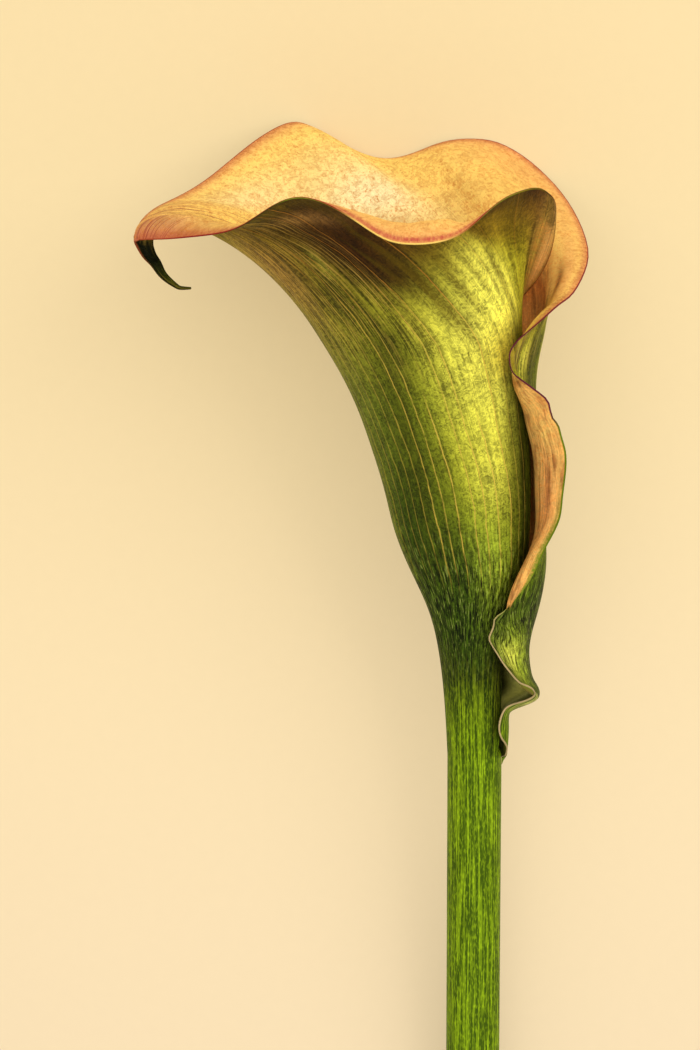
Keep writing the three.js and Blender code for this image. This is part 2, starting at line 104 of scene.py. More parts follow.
def ease(x, low, high):
    """0 below low, 1 above high, and 3 s^2 - 2 s^3 of the share s between them."""
    s = np.clip((np.asarray(x, float) - low) / (high - low), 0, 1)
    return s * s * (3 - 2 * s)


def unit(v):
    """Vectors along the last axis, brought to length 1."""
    return v / np.maximum(np.linalg.norm(v, axis=-1, keepdims=True), 1e-12)


# %% [markdown]
# ## The middle line
#
# Laid down, the stalk rests on the table near its cut end and rises a little towards the flower, which
# is propped up on its rim. Everything else is measured round this line.

# %% Middle line of stem and funnel
STEM_RADIUS, STEM_TOP_RADIUS = 5.35, 5.5
STEM_END_Y, STEM_REST_Y = -219.0, -200.0
UNDERSIDE, SHAVED = 0.15, 0.4  # mm of the stem's underside, and of the flats it is shaved to
TOP_LEAN = np.radians(11.5)
BASE_LEVEL = 755.0
BASE_Y = (CENTRE[1] - BASE_LEVEL) * STEP
BLADE_MM = 72.2  # from the base of the blade to its throat


def lean_at(y):
    """Angle of the line with the table: none at the cut end, growing evenly to TOP_LEAN."""
    return np.clip((y - STEM_REST_Y) / (BASE_Y - STEM_REST_Y), 0, 1) * TOP_LEAN


def middle_height(y):
    """Height of the line: a parabola up the stem, then straight on through the flower."""
    run = BASE_Y - STEM_REST_Y
    part = np.clip((y - STEM_REST_Y) / run, 0, 1)
    return STEM_RADIUS + UNDERSIDE + np.tan(TOP_LEAN) * (run * part ** 2 / 2 + np.maximum(y - BASE_Y, 0))


def around(y, seen_x, angle, radius):
    """Point at an angle (0 right, 90 degrees up) and a radius round the middle line."""
    height, size = middle_height(y), nearer(middle_height(y))
    out = radius * np.sin(angle)
    return np.stack(np.broadcast_arrays((seen_x - CENTRE[0]) * STEP * size + radius * np.cos(angle),
                    y * size - out * np.sin(lean_at(y)), height + out * np.cos(lean_at(y))), -1)


# %% [markdown]
# ## The spathe as one surface
#
# The spathe is one blade, so it is one surface of two numbers: the vein, counted in degrees round the
# throat from the hidden inner margin to the free outer one, and the way from the base to the rim. Up to
# the throat it is a rolled tube with five radii. Past vein 395 it leaves the roll as a free strip.

# %% Funnel: level and middle, then the radius in steps at 0, 90, 180 and 270 degrees
funnel = spline([
    (330, 437, 85, 104, 122, 110), (370, 446, 78, 93, 107, 98), (410, 453, 74, 85, 95, 90),
    (450, 460, 70, 79, 88, 83), (490, 465, 66, 74, 81, 78), (530, 470, 60, 67, 76, 72),
    (570, 475, 51, 57, 65, 63), (610, 475, 40, 44, 47, 51), (650, 474, 31, 34, 36, 41),
    (690, 474, 28, 29, 31, 34), (725, 474, 27.2, 27.5, 28.5, 29.5),
    (755, 474.5, 27.5, 27.5, 27.5, 27.5)])
# Radius at 360 degrees, where the blade overlaps itself: it bulges out into the curl, then draws in.
outer_turn = spline([
    (330, 108), (370, 91), (410, 84), (450, 81), (490, 78), (530, 76), (570, 71), (610, 63.5),
    (650, 56), (668, 57.5), (681, 61.5), (689, 66), (697, 64.5), (703, 54), (708, 41), (714, 36),
    (725, 35.5), (755, 33)])
inner_margin = spline([(330, -28), (450, -28), (600, -28), (650, -25), (690, -17), (725, 10), (755, 36)])
roll_end = spline([
    (330, 395), (378, 395), (396, 388), (414, 386), (440, 381), (490, 379), (520, 382), (545, 392),
    (570, 404), (590, 410), (612, 408), (630, 398), (650, 395), (664, 392), (676, 384), (686, 374),
    (694, 365), (702, 364), (709, 370), (717, 375), (728, 376), (738, 370), (746, 366), (755, 362)])
FIRST_VEIN, STRIP_VEIN, LAST_VEIN = -28.0, 395.0, 430.0


def vein_angle(vein, level):
    """Angle of a vein: near each margin the veins turn with it, by an eased share."""
    inner = 1 - ease(vein, FIRST_VEIN, FIRST_VEIN + 100)
    outer = ease(vein, STRIP_VEIN - 70, STRIP_VEIN)
    return (vein + (inner_margin(level)[..., 0] - FIRST_VEIN) * inner
            + (roll_end(level)[..., 0] - STRIP_VEIN) * outer)


def funnel_point(vein, level):
    """Point of the roll: the radius swings from each quarter turn's to the next by half a cosine."""
    angle, row = vein_angle(vein, level), np.concatenate([funnel(level), outer_turn(level)], -1)
    quarter = np.clip(np.floor(angle / 90).astype(int), 0, 3)
    swing = (1 - np.cos(np.pi * np.clip(angle / 90 - quarter, 0, 1))) / 2
    low = np.take_along_axis(row, quarter[..., None] + 1, -1)[..., 0]
    high = np.take_along_axis(row, quarter[..., None] + 2, -1)[..., 0]
    radius = (low + (high - low) * swing) * STEP
    return around((CENTRE[1] - level) * STEP, row[..., 0], np.radians(angle), radius)


# %% Outer margin of the free strip: level, seen place, height over the middle, run along the roll
OUTER_MARGIN = [
    (394, 529, 384.8, 15.2, 4), (402, 540, 393, 14.8, 3.5), (411, 549.5, 404, 14, 3),
    (418, 552.5, 417, 13.6, 2.8), (422, 556, 421.5, 13.4, 2.8), (434, 561, 434, 13, 2.8),
    (448, 565, 448, 13, 2.8), (470, 566, 470, 13, 2.8), (500, 562.5, 500, 13, 3),
    (518, 560, 518, 13.2, 3.4), (538, 551, 538, 13.4, 4.4), (560, 539.5, 559, 13.6, 5.4),
    (584, 527, 583, 13.2, 5.2), (604, 510, 604, 12.2, 4.6), (613, 502, 613, 11.4, 4.2),
    (618.5, 495, 618, 10.8, 3.8), (624, 493.8, 624, 10.4, 3.2), (634, 490.4, 634, 9.6, 2.7),
    (638.5, 489, 638.6, 9.4, 2.5), (643, 490.6, 643, 9.2, 2.4), (652, 496.5, 652.5, 8.9, 2.2),
    (664, 504.5, 664.5, 8.8, 2), (676, 514, 676, 8.8, 2), (683, 521, 682.5, 8.6, 2.5),
    (688, 529, 686, 7.8, 3), (693, 534.5, 690.5, 6.8, 3.2), (698, 534, 696.5, 5.6, 3.2),
    (702, 526, 701, 5, 2.6), (707, 514, 704.5, 5, 1.9), (713, 505.5, 709.5, 5, 1.4),
    (720, 501, 719, 5, 1.2), (730, 499.7, 730.5, 4.6, 1), (738, 502.5, 738.5, 4, 0.8),
    (746, 507.5, 746, 3, 0.5), (755, 506, 756, 1.6, 0.3)]
level, sx, sy, height, run = np.array(OUTER_MARGIN, float).T
free_edge = seen(sx, sy, middle_height((CENTRE[1] - sy) * STEP) + height)
outer_margin = spline(np.column_stack([level, free_edge, run]))


def blade_point(vein, level):
    """The roll up to STRIP_VEIN. Past it, a parabola that leaves the roll along it, for the length run,
    and ends on the outer margin."""
    vein, level = np.broadcast_arrays(np.asarray(vein, float), np.asarray(level, float))
    root = funnel_point(np.minimum(vein, STRIP_VEIN), level)
    margin = outer_margin(level)
    corner = funnel_point(np.full_like(level, STRIP_VEIN), level)
    before = funnel_point(np.full_like(level, STRIP_VEIN - 0.5), level)
    knee = corner + unit(corner - before) * margin[..., 3:]
    part = (np.clip(vein - STRIP_VEIN, 0, None) / (LAST_VEIN - STRIP_VEIN))[..., None]
    strip = corner * (1 - part) ** 2 + knee * 2 * part * (1 - part) + margin[..., :3] * part ** 2
    return np.where((vein > STRIP_VEIN)[..., None], strip, root)


# %% [markdown]
# ## The limb and its rim
#
# Above the throat the blade flares out to the rim. Each vein leaves the funnel in its own direction and
# reaches the rim with a chosen rise, so the lip can roll over, as it does in front. A Hermite curve is
# made for just that: two ends and two directions.

# %% Rim: vein, seen place, height over RIM_HEIGHT, rise in degrees, strength of the rise
RIM_HEIGHT = 43.5
RIM = [
    (-28, 555.5, 208, 12, 85, 1.5), (-18, 553.5, 199.5, 14, 80, 1.3), (-8, 547, 192.5, 17, 65, 1),
    (2, 536, 188, 20, 60, 0.9), (12, 518, 192, 25, 45, 0.9), (22, 496, 204, 30, 20, 0.9),
    (33, 466, 230, 36, -20, 1), (45, 438, 242, 41, -50, 1.1), (60, 410, 244, 42, -55, 1.1),
    (75, 381, 237, 41, -45, 1), (90, 342, 212, 37, -5, 0.9), (103, 300, 197, 31, 25, 0.9),
    (115, 267, 209, 26, 5, 0.9), (127, 240, 226, 20, -15, 0.9), (140, 213, 234, 14, -30, 0.9),
    (152, 187, 237, 9, -40, 0.9), (162, 163, 239, 5.4, -55, 0.9), (168, 146, 239.5, 3.8, -70, 0.8),
    (172, 136.5, 241, 2.1, -80, 0.7), (176, 145, 245, 1.2, -88, 0.75), (180, 153.5, 245, 0, -88, 0.8),
    (184, 146, 244, -1.2, -88, 0.75), (188, 136.5, 240, -2.1, -80, 0.7),
    (193, 134.6, 236, -3.6, -60, 0.7), (200, 138, 226, -6.4, -40, 0.75), (212, 151, 211, -11, -20, 0.8),
    (228, 173, 199, -16, 0, 0.9), (242, 205, 180.5, -23, 5, 0.9), (255, 240, 152.5, -30, 15, 0.9),
    (268, 272, 130, -36.5, 20, 0.9), (277, 296, 122, -40, 15, 0.9), (287, 322, 133, -42.6, 8, 0.8),
    (297, 351, 149.5, -43.4, 2, 0.7), (308, 385, 158.5, -43, -5, 0.7), (320, 420, 150.5, -42.2, 0, 0.8),
    (330, 450, 140.5, -41.6, 10, 0.9), (338, 482, 139.5, -43, 15, 0.9), (346, 512, 150, -44.3, 15, 0.9),
    (353, 542, 172, -43, 10, 0.9), (360, 566, 199, -34.5, 0, 0.9), (366, 581, 226, -23.5, -5, 0.9),
    (371, 588, 250, -14, -10, 0.9), (377, 584, 273, -5, -15, 0.9), (383, 573, 293, 2, -15, 0.9),
    (389, 561, 303, 6, -10, 0.9), (396, 548, 314, 10, 0, 0.9), (404, 533, 327, 13, 20, 0.9),
    (412, 522, 336, 15, 40, 0.9), (420, 513.5, 345, 16.5, 55, 0.9), (426, 509.5, 353, 17, 65, 0.9),
    (430, 509, 358, 17, 75, 0.9)]
vein, sx, sy, height, rise, hold = np.array(RIM, float).T
rim = spline(np.column_stack([vein, seen(sx, sy, RIM_HEIGHT + height), rise, hold]))
LAST_THROAT = 394  # level of the throat at LAST_VEIN
throat = spline([
    (-28, 330), (120, 330), (240, 330), (340, 335), (375, 350), (400, 374), (430, LAST_THROAT)])
# How strongly each vein holds on to the funnel's direction as it leaves it.
sweep = spline([
    (-28, 0.62), (-5, 0.85), (20, 1), (60, 1), (100, 1.05), (130, 1.55), (155, 1.9), (185, 1.9),
    (210, 1.6), (250, 1.1), (290, 1), (430, 1)])
MOUTH = seen(385, 200, RIM_HEIGHT)
MOUTH_AXIS = unit(np.array([-0.1, np.cos(TOP_LEAN), np.sin(TOP_LEAN)]))


def flat(v):
    """Direction of v within the mouth's plane."""
    return unit(v - (v @ MOUTH_AXIS)[..., None] * MOUTH_AXIS)


def limb_points(veins, parts):
    """Rows of the limb, each a share f of the way from throat to rim:
    (2f^3 - 3f^2 + 1) start + (f^3 - 2f^2 + f) leaving + (3f^2 - 2f^3) end + (f^3 - f^2) arriving."""
    level = throat(veins)[..., 0]
    start = blade_point(veins, level)
    edge = rim(veins)
    end, rise = edge[..., :3], np.radians(edge[..., 3:4])
    length = np.linalg.norm(end - start, axis=-1, keepdims=True)
    leaving = unit(start - blade_point(veins, level + 4)) * length * sweep(veins)
    out = unit(flat(end - MOUTH) + flat(end - start))
    arriving = (out * np.cos(rise) + MOUTH_AXIS * np.sin(rise)) * length * edge[..., 4:5]
    f = np.asarray(parts)[:, None, None]
    return ((2 * f ** 3 - 3 * f ** 2 + 1) * start + (f ** 3 - 2 * f ** 2 + f) * leaving
            + (3 * f ** 2 - 2 * f ** 3) * end + (f ** 3 - f ** 2) * arriving)


# %% Grid of the blade: rows from base to rim, columns from margin to margin
def spread(*stretches):
    """Evenly spaced numbers over stretches (from, to, count), each without its end, and the last end."""
    return np.concatenate([np.linspace(a, b, n, endpoint=False) for a, b, n in stretches]
                          + [[stretches[-1][1]]])


TAIL_VEINS, TIP_VEIN = (172.0, 188.0), 180.0
TAIL_CELLS = 16
SUNK_STEPS, SUNK_MM = 7, 0.9  # how far the blade's base reaches down the stem, and into it
veins = spread((FIRST_VEIN, TAIL_VEINS[0], 106), (*TAIL_VEINS, TAIL_CELLS),
               (TAIL_VEINS[1], STRIP_VEIN, 102), (STRIP_VEIN, LAST_VEIN, 24))
rows = spread((BASE_LEVEL + SUNK_STEPS, 716, 20), (716, 682, 26), (682, LAST_THROAT, 70))
part = (BASE_LEVEL - rows) / (BASE_LEVEL - LAST_THROAT)
tops = throat(veins)[:, 0]
levels = BASE_LEVEL + (tops[None] - BASE_LEVEL) * part[:, None]
limb_parts = np.linspace(0, 1, 67)[1:]
surface = np.concatenate([blade_point(veins[None], levels), limb_points(veins, limb_parts)])
print("blade grid:", surface.shape[:2])

# %% [markdown]
# ## A blade has thickness
#
# A surface alone is a sheet of paper. The real blade is fleshy, 0.6 to 1 mm thick and thinner along its
# margins. So the surface is pushed in along its normals for the inner skin, and a round edge joins the
# two all the way round. Solidify could do the first half, but not the edge's roundness or the tail.

# %% Normals, thickness and relief
BLADE_BASE, BLADE_RIM, TAIL_WALL = 0.95, 0.7, 0.62  # mm of thickness
RIM_OUTWARD = 0.75  # share of the rim's thickness that lies outside the surface
TUBE_ROWS, LIMB_ROWS = 18, 12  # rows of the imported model, along which it thins evenly
FINE_EDGE, FULL_WALL = 0.34, 3.0  # share of the thickness left at a margin; mm to the full one


def grid_normals(p):
    """Cross product of the two grid directions, by central differences, facing out of the funnel."""
    return unit(np.cross(np.gradient(p, axis=0), np.gradient(p, axis=1)))


def vein_ridges(veins, rows):
    """Soft lengthwise ridges, mm: a cosine over the veins, strongest where they crowd towards the tip."""
    crowd = ease(np.abs(veins - 150), 75, 15)
    fine = np.cos(np.radians(veins * 52)) * 0.1 * crowd
    broad = np.cos(np.radians(veins * 27 + 40)) * (0.07 + 0.05 * crowd)
    away = ease(np.abs(veins - TIP_VEIN), 9, 20) * ease(veins, FIRST_VEIN, FIRST_VEIN + 14)
    return (fine + broad) * away * ease(rows, 0.1, 0.5) * ease(rows, 2, 1.7) * ease(veins, STRIP_VEIN, 380)


def lengths(p, axis):
    """Arc length in mm along one direction of a grid of points, from its start."""
    step = np.linalg.norm(np.diff(p, axis=axis), axis=-1)
    return np.insert(np.cumsum(step, axis=axis), 0, 0, axis=axis)


first = int(np.argmin(np.abs(veins - TAIL_VEINS[0])))
last = first + TAIL_CELLS
across_mm, along_mm = lengths(surface, 1), lengths(surface, 0)
to_rim, to_sides = along_mm[-1] - along_mm, np.minimum(across_mm, across_mm[:, -1:] - across_mm)
edge_mm = np.minimum(to_rim, to_sides)
edge_mm[:, first:last + 1] += FULL_WALL

reach = np.concatenate([part, 1 + limb_parts])  # 0 base, 1 throat, 2 rim
into_tail = ease(np.abs(veins - TIP_VEIN), 8, 22)[None]
limb_share = np.clip(reach - 1, 0, 1)[:, None]
even = np.concatenate([part * TUBE_ROWS, TUBE_ROWS + LIMB_ROWS * limb_parts])[:, None]
even = even / (TUBE_ROWS + LIMB_ROWS)
thickness = BLADE_BASE + (BLADE_RIM - BLADE_BASE) * even
thickness = TAIL_WALL + (thickness - TAIL_WALL) * np.maximum(into_tail, 1 - even ** 2)
thickness = thickness * (FINE_EDGE + (1 - FINE_EDGE) * ease(edge_mm, 0, FULL_WALL))
outward = ease(limb_share, 0, 1) * into_tail * RIM_OUTWARD
normals = grid_normals(surface)
sunk = np.append(ease(rows, BASE_LEVEL - 1, BASE_LEVEL + SUNK_STEPS), np.zeros(len(limb_parts)))[:, None]
surface = surface + normals * (vein_ridges(veins[None], reach[:, None]) - SUNK_MM * sunk)[..., None]
outer_skin = surface + normals * (thickness * outward)[..., None]
inner_skin = surface - normals * (thickness * (1 - outward))[..., None]
outer_skin[..., 2] = np.maximum(outer_skin[..., 2], SHAVED)
inner_skin[..., 2] = np.maximum(inner_skin[..., 2], SHAVED + 0.8 * thickness)
print("thickness, mm:", thickness.min().round(2), "to", thickness.max().round(2))

# %% The hooked tail: the tip's folded section carried along the hook, turning and shrinking with it
TAIL = [
    (144.5, 243, 0, 17), (149.5, 254.5, 0, 14), (155.5, 263.3, 0.4, 12), (161, 272.3, 0.8, 9.5),
    (168, 279.8, 1.2, 7.5), (175.5, 285.5, 1.4, 5.5), (181, 287.9, 1.4, 4.2), (190, 288.2, 1, 2.8)]
TAIL_ROWS = 54
TAIL_LIPS = (0.14, 0.86)  # shares of the fold's width between which it is closed
sx, sy, height, width = np.array(TAIL, float).T
path = seen(sx, sy, RIM_HEIGHT + height)
hook = spline(np.column_stack([np.linspace(0, 1, len(TAIL)), path, width / width[0]]))
section = surface[-1, first:first + TAIL_CELLS + 1]


def heading(s):
    """Direction of the hook over the table, from two points a little before and after s."""
    ahead = hook(s + 0.01)[..., :2] - hook(s - 0.01)[..., :2]
    return np.arctan2(ahead[..., 1], ahead[..., 0])


s = np.arange(1, TAIL_ROWS + 1) / TAIL_ROWS
turn = (heading(s) - heading(0.0))[:, None]
off = (section - path[0])[None]
turned = np.stack([off[..., 0] * np.cos(turn) - off[..., 1] * np.sin(turn),
                   off[..., 0] * np.sin(turn) + off[..., 1] * np.cos(turn),
                   np.broadcast_to(off[..., 2], (TAIL_ROWS, TAIL_CELLS + 1))], -1)
tail = turned * hook(s)[:, None, 3:4] + hook(s)[:, None, :3]
tail_normals = grid_normals(np.concatenate([section[None], tail]))[1:]
tail_inner = tail - tail_normals * TAIL_WALL * np.minimum(1, 1.6 * hook(s)[:, None, 3:4])
across = np.linspace(*TAIL_LIPS, TAIL_CELLS + 1)[None, :, None]
fold_back = tail[:, :1] * (1 - across) + tail[:, -1:] * across
filled = ease(s * 9, 0, 4)[:, None, None]  # the fold is hollow at first, then closed
tail_inner = tail_inner * (1 - filled) + fold_back * filled
print("tail, mm from rim to tip:", np.linalg.norm(tail[-1].mean(0) - path[0]).round(1))

# %% Joining the skins: faces of both, and the loop of vertices round the free edge
ROWS, COLUMNS = surface.shape[:2]
body = np.arange(ROWS * COLUMNS).reshape(ROWS, COLUMNS)
horn = ROWS * COLUMNS + np.arange(TAIL_ROWS * (TAIL_CELLS + 1)).reshape(TAIL_ROWS, -1)
horn_grid = np.concatenate([body[-1:, first:last + 1], horn])


def grid_faces(grid):
    """One four-cornered face for each cell of a grid of vertex numbers, facing out of the funnel."""
    return np.stack([grid[:-1, :-1], grid[1:, :-1], grid[1:, 1:], grid[:-1, 1:]], -1).reshape(-1, 4)


skin_faces = np.concatenate([grid_faces(body), grid_faces(horn_grid)])
loop = np.concatenate([body[0, :-1], body[:-1, -1], body[-1, :last:-1], horn_grid[:-1, -1],
                       horn_grid[-1, :0:-1], horn_grid[:0:-1, 0], body[-1, first:0:-1], body[:0:-1, 0]])
outer = np.concatenate([outer_skin.reshape(-1, 3), tail.reshape(-1, 3)])
inner = np.concatenate([inner_skin.reshape(-1, 3), tail_inner.reshape(-1, 3)])
print("free edge:", len(loop), "vertices")


def round_edge(outer_edge, inner_edge, arcs):
    """Half circle from the outer to the inner skin: middle + half cos(a) + away sin(a), where half is
    half of the thickness and away lies in the blade, square to the edge and to half."""
    middle, half = (outer_edge + inner_edge) / 2, (outer_edge - inner_edge) / 2
    along = unit(np.roll(outer_edge + inner_edge, -1, 0) - np.roll(outer_edge + inner_edge, 1, 0))
    away = unit(np.cross(half, along)) * np.linalg.norm(half, axis=-1, keepdims=True)
    a = np.linspace(0, np.pi, arcs + 1)[1:-1, None, None]
    return middle + half * np.cos(a) + away * np.sin(a)


ARCS = 4
lips = round_edge(outer[loop], inner[loop], ARCS)
COUNT = len(outer)
rings = np.concatenate([loop[None], 2 * COUNT + np.arange(lips[..., 0].size).reshape(ARCS - 1, -1),
                        COUNT + loop[None]])
closed = np.concatenate([rings, rings[:, :1]], 1)
edge_faces = grid_faces(closed)[:, ::-1]
spathe_points = np.concatenate([outer, inner, lips.reshape(-1, 3)])
spathe_faces = np.concatenate([skin_faces, skin_faces[:, ::-1] + COUNT, edge_faces])
print("spathe:", len(spathe_points), "vertices,", 2 * len(spathe_faces), "triangles")

# %% [markdown]
# ## The stem
#
# The stalk is a fleshy rod, cut a little aslant. Inside the base of the spathe it goes on as a narrower
# neck. Rings round the middle line make it; the spathe's base sinks into it, as both grew together.

# %% Rings round the middle line, and the stem's rows
STEM_SIDES, NECK_RADIUS, NECK_TOP_LEVEL = 120, 4.15, 668.0
CUT_SLANT, CUT_ROUND = 0.16, 0.35
STEM_TOP_X, STEM_DRIFT = 474.5, 0.03  # step over which its top is seen, and steps of drift in each mm


def turns(sides):
    """Angles of the corners of a ring."""
    return (np.arange(sides) + 0.5) / sides * 2 * np.pi


def ring_rows(y, seen_x, sides, radius, slant=0.0):
    """Rings of the given radius round the middle line, each tipped by slant where it is cut."""
    points = around(y[:, None], seen_x[:, None], turns(sides)[None], radius)
    points[..., 1] += np.asarray(slant) * (points[..., 2] - middle_height(y)[:, None])
    return points


def stem_middle(y):
    """Step over which the stem's middle is seen: it drifts sideways a little along its length."""
    return STEM_TOP_X + (np.minimum(y, BASE_Y) - BASE_Y) * STEM_DRIFT


def stem_radius(y):
    """From STEM_RADIUS at the cut evenly to STEM_TOP_RADIUS at the spathe, then easing to the neck."""
    up = np.clip((y - STEM_END_Y) / (BASE_Y - STEM_END_Y), 0, 1)
    full = STEM_RADIUS + (STEM_TOP_RADIUS - STEM_RADIUS) * up
    return full + (NECK_RADIUS - full) * ease(y, BASE_Y + 0.2, BASE_Y + 3)


cut = np.linspace(0, np.pi / 2, 6)
cut_y = STEM_END_Y + CUT_ROUND * (1 - np.cos(cut))
cut_radius = STEM_RADIUS - CUT_ROUND * (1 - np.sin(cut))
face = np.linspace(0, 1, 18)[1:-1] * (STEM_RADIUS - CUT_ROUND)
shaft_y = spread((STEM_END_Y + 1, BASE_Y - 1.5, 110), (BASE_Y - 1.5, BASE_Y + 3.5, 16),
                 (BASE_Y + 3.5, (CENTRE[1] - NECK_TOP_LEVEL) * STEP, 12))
y = np.concatenate([np.full(len(face), STEM_END_Y), cut_y, shaft_y])
radius = np.concatenate([face, cut_radius, stem_radius(shaft_y)])
slant = CUT_SLANT * ease(y, STEM_END_Y + 14, STEM_END_Y + 1)
stem_rows = ring_rows(y, stem_middle(y), STEM_SIDES, radius[:, None], slant[:, None])
print("stem rows:", len(y))


def closed_skin(rows):
    """Points and faces of a skin over rings, with a fan of triangles over each end."""
    count, sides = rows.shape[:2]
    grid = np.arange(count * sides).reshape(count, sides)
    grid = np.concatenate([grid, grid[:, :1]], 1)
    points = np.concatenate([rows.reshape(-1, 3), rows[[0, -1]].mean(1)])
    low, high = count * sides, count * sides + 1
    ends = [np.stack([np.full(sides, low), grid[0, :-1], grid[0, 1:]], -1),
            np.stack([np.full(sides, high), grid[-1, 1:], grid[-1, :-1]], -1)]
    return points, [*grid_faces(grid).tolist(), *ends[0].tolist(), *ends[1].tolist()]


# %% [markdown]
# ## The spadix
#
# Inside the funnel, where this view doesn't reach, stands the finger that carries the florets. They sit
# in two families of spirals, which three crossed cosines draw as a close lattice of bumps.

# %% Spadix rows with their florets in relief
SPADIX_RADIUS, SPADIX_TAPER, SPADIX_CROWN = 3.9, 0.18, 0.2
SPADIX_FOOT_LEVEL, SPADIX_TOP_LEVEL = NECK_TOP_LEVEL - 1.5, 415.0
SPADIX_SIDES, FLORET = 112, 0.2  # FLORET is the height of the bumps, mm


def florets(angle, along):
    """Bumps where three spirals meet: (cos u + cos v + cos(u + v)) / 3, for 13 spirals one way and 8
    the other."""
    u, v = 13 * angle + 2.2 * along, 8 * angle - 3.4 * along
    return (np.cos(u) + np.cos(v) + np.cos(u + v)) / 3


part = np.concatenate([np.linspace(0, 1 - SPADIX_CROWN, 190, endpoint=False),
                       1 - SPADIX_CROWN * (1 - np.linspace(0, 1, 60)) ** 1.6])
level = SPADIX_FOOT_LEVEL + (SPADIX_TOP_LEVEL - SPADIX_FOOT_LEVEL) * part
crown = np.clip(part - 1 + SPADIX_CROWN, 0, None) / SPADIX_CROWN
taper = np.sqrt(1 - (0.995 * crown) ** 2)
y = (CENTRE[1] - level) * STEP
bumps = florets(turns(SPADIX_SIDES)[None], y[:, None]) * FLORET * taper[:, None]
radius = (SPADIX_RADIUS * (1 - SPADIX_TAPER * part) * taper)[:, None] + bumps
spadix_rows = ring_rows(y, funnel(level)[:, 0], SPADIX_SIDES, radius)
print("spadix rows:", len(y))

# %% [markdown]
# ## Into the frame
#
# The tables count from the middle of the view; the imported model's origin lies under the middle of its
# box. The stem's box tells the way from one to the other.

# %% Way from the view's middle to the model's origin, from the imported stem's own rings
CAD_SIDES = 24
cad_y = np.array([STEM_END_Y, STEM_END_Y + 1, STEM_REST_Y, -175, -150, -125, -100, -80, -62, BASE_Y - 0.3])
cad_radius = np.concatenate([[STEM_RADIUS - CUT_ROUND, STEM_RADIUS], stem_radius(cad_y[2:])])
cad_slant = np.array([CUT_SLANT] * 2 + [0.0] * 8)
cad_rows = ring_rows(cad_y, stem_middle(cad_y), CAD_SIDES, cad_radius[:, None], cad_slant[:, None])
corner = cad_rows.reshape(-1, 3).min(0)
corner[2] = SHAVED
shift = np.array(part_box("stem")[0]) * 1000 - corner
print("shift, mm:", shift.round(3))


def placed(name, data):
    """New object in the scene."""
    thing = bpy.data.objects.new(name, data)
    bpy.context.scene.collection.objects.link(thing)
    return thing


def make_piece(name, points, faces, attributes):
    """Mesh object in metres, at the origin, from points in mm. What lies under the shaved height is
    raised to it, so the lowest places are small flats."""
    points = np.array(points)
    points[:, 2] = np.maximum(points[:, 2], SHAVED)
    mesh = bpy.data.meshes.new(name)
    mesh.from_pydata(((points + shift) / 1000).tolist(), [], faces)
    for title, values in attributes.items():
        values = np.asarray(values, np.float32)
        kind, field = ("FLOAT_VECTOR", "vector") if values.ndim == 2 else ("FLOAT", "value")
        mesh.attributes.new(title, kind, "POINT").data.foreach_set(field, values.ravel())
    mesh.shade_smooth()
    mesh.validate()
    piece = placed(name, mesh)
    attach(piece, "root")
    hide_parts(name.split("_")[0])
    print(name, len(mesh.vertices), "vertices")
    return piece

# %% [markdown]
# ## Colour that follows the blade
#
# Each vertex carries where it lies on the blade, so a finish can follow the veins and the margins: the
# vein and the way along it, its distance from the free edge, which skin it is on, and a ground colour.

# %% Place of each vertex on the blade
GRAIN_ROUND, GRAIN_ALONG = 2.6, 0.012  # size of the ring that the stem's grain is drawn on; rise in a mm
TAIL_MM = 14.0  # mm of tail over which the reach grows by 1


def everywhere(on_blade, on_tail):
    """Values on the blade's grid and the tail's, for the outer skin, the inner skin and the edge."""
    shape = np.shape(on_blade)[2:]
    on_tail = np.broadcast_to(on_tail, tail.shape[:2] + shape)
    skin = np.concatenate([np.reshape(on_blade, (-1, *shape)), np.reshape(on_tail, (-1, *shape))])
    return np.concatenate([skin, skin, *[skin[loop]] * (ARCS - 1)])


def grain_place(angle, y):
    """Place on the ring that the stem's grain is drawn on."""
    return np.stack([np.cos(angle) * GRAIN_ROUND, np.sin(angle) * GRAIN_ROUND, y * GRAIN_ALONG], -1)


horn_mm = np.linalg.norm(tail - path[0], axis=-1)
vein_grid = np.broadcast_to(veins, surface.shape[:2])
reach_grid = np.broadcast_to(reach[:, None], surface.shape[:2])
inside = np.concatenate([np.zeros(COUNT), np.ones(COUNT), np.repeat(np.arange(1, ARCS) / ARCS, len(loop))])

# %% Veins as they grow: they sweep towards the tip as they rise, and stand at uneven distances
sweep_aside = spline([
    (-28, 0), (0, 8), (31, 20), (55, 38), (80, 34), (113, 25), (150, 14), (172, 0), (188, 0), (210, -14),
    (247, -25), (290, -28), (330, -18), (360, -8), (395, 0), (430, 0)])
MAIN_VEINS = [-28, -14, 2, 16, 30, 41, 52, 65, 76, 85, 98, 108, 116, 125, 133, 141, 149, 157, 165, 173,
              *range(183, 431, 13)]
# How clearly a main vein shows, where it isn't FAINT, and the reach at which three of them end.
FAINT = 0.25
STRENGTH = {30: 0.45, 52: 0.95, 65: 0.85, 76: 0.8, 85: 0.65, 98: 0.9, 108: 0.6, 116: 0.8, 125: 0.4,
            133: 0.45, 141: 0.3, 149: 0.35, 157: 0.3}
LOWER_VEINS = {65: 0.83, 98: 0.86, 41: 1.1}
ASIDE_FROM, ASIDE_OVER = 0.62, 0.93  # reach where the veins start to sweep aside, and over how much


def grown_vein(vein, reach):
    """The vein's number q at the tube, where vein = q + sweep_aside(q) * rise: solved by repetition."""
    rise = np.clip((reach - ASIDE_FROM) / ASIDE_OVER, 0, 1.1)
    q = np.array(vein, float)
    for _ in range(40):
        q = 0.5 * q + 0.5 * (vein - sweep_aside(q)[..., 0] * rise)
    return q


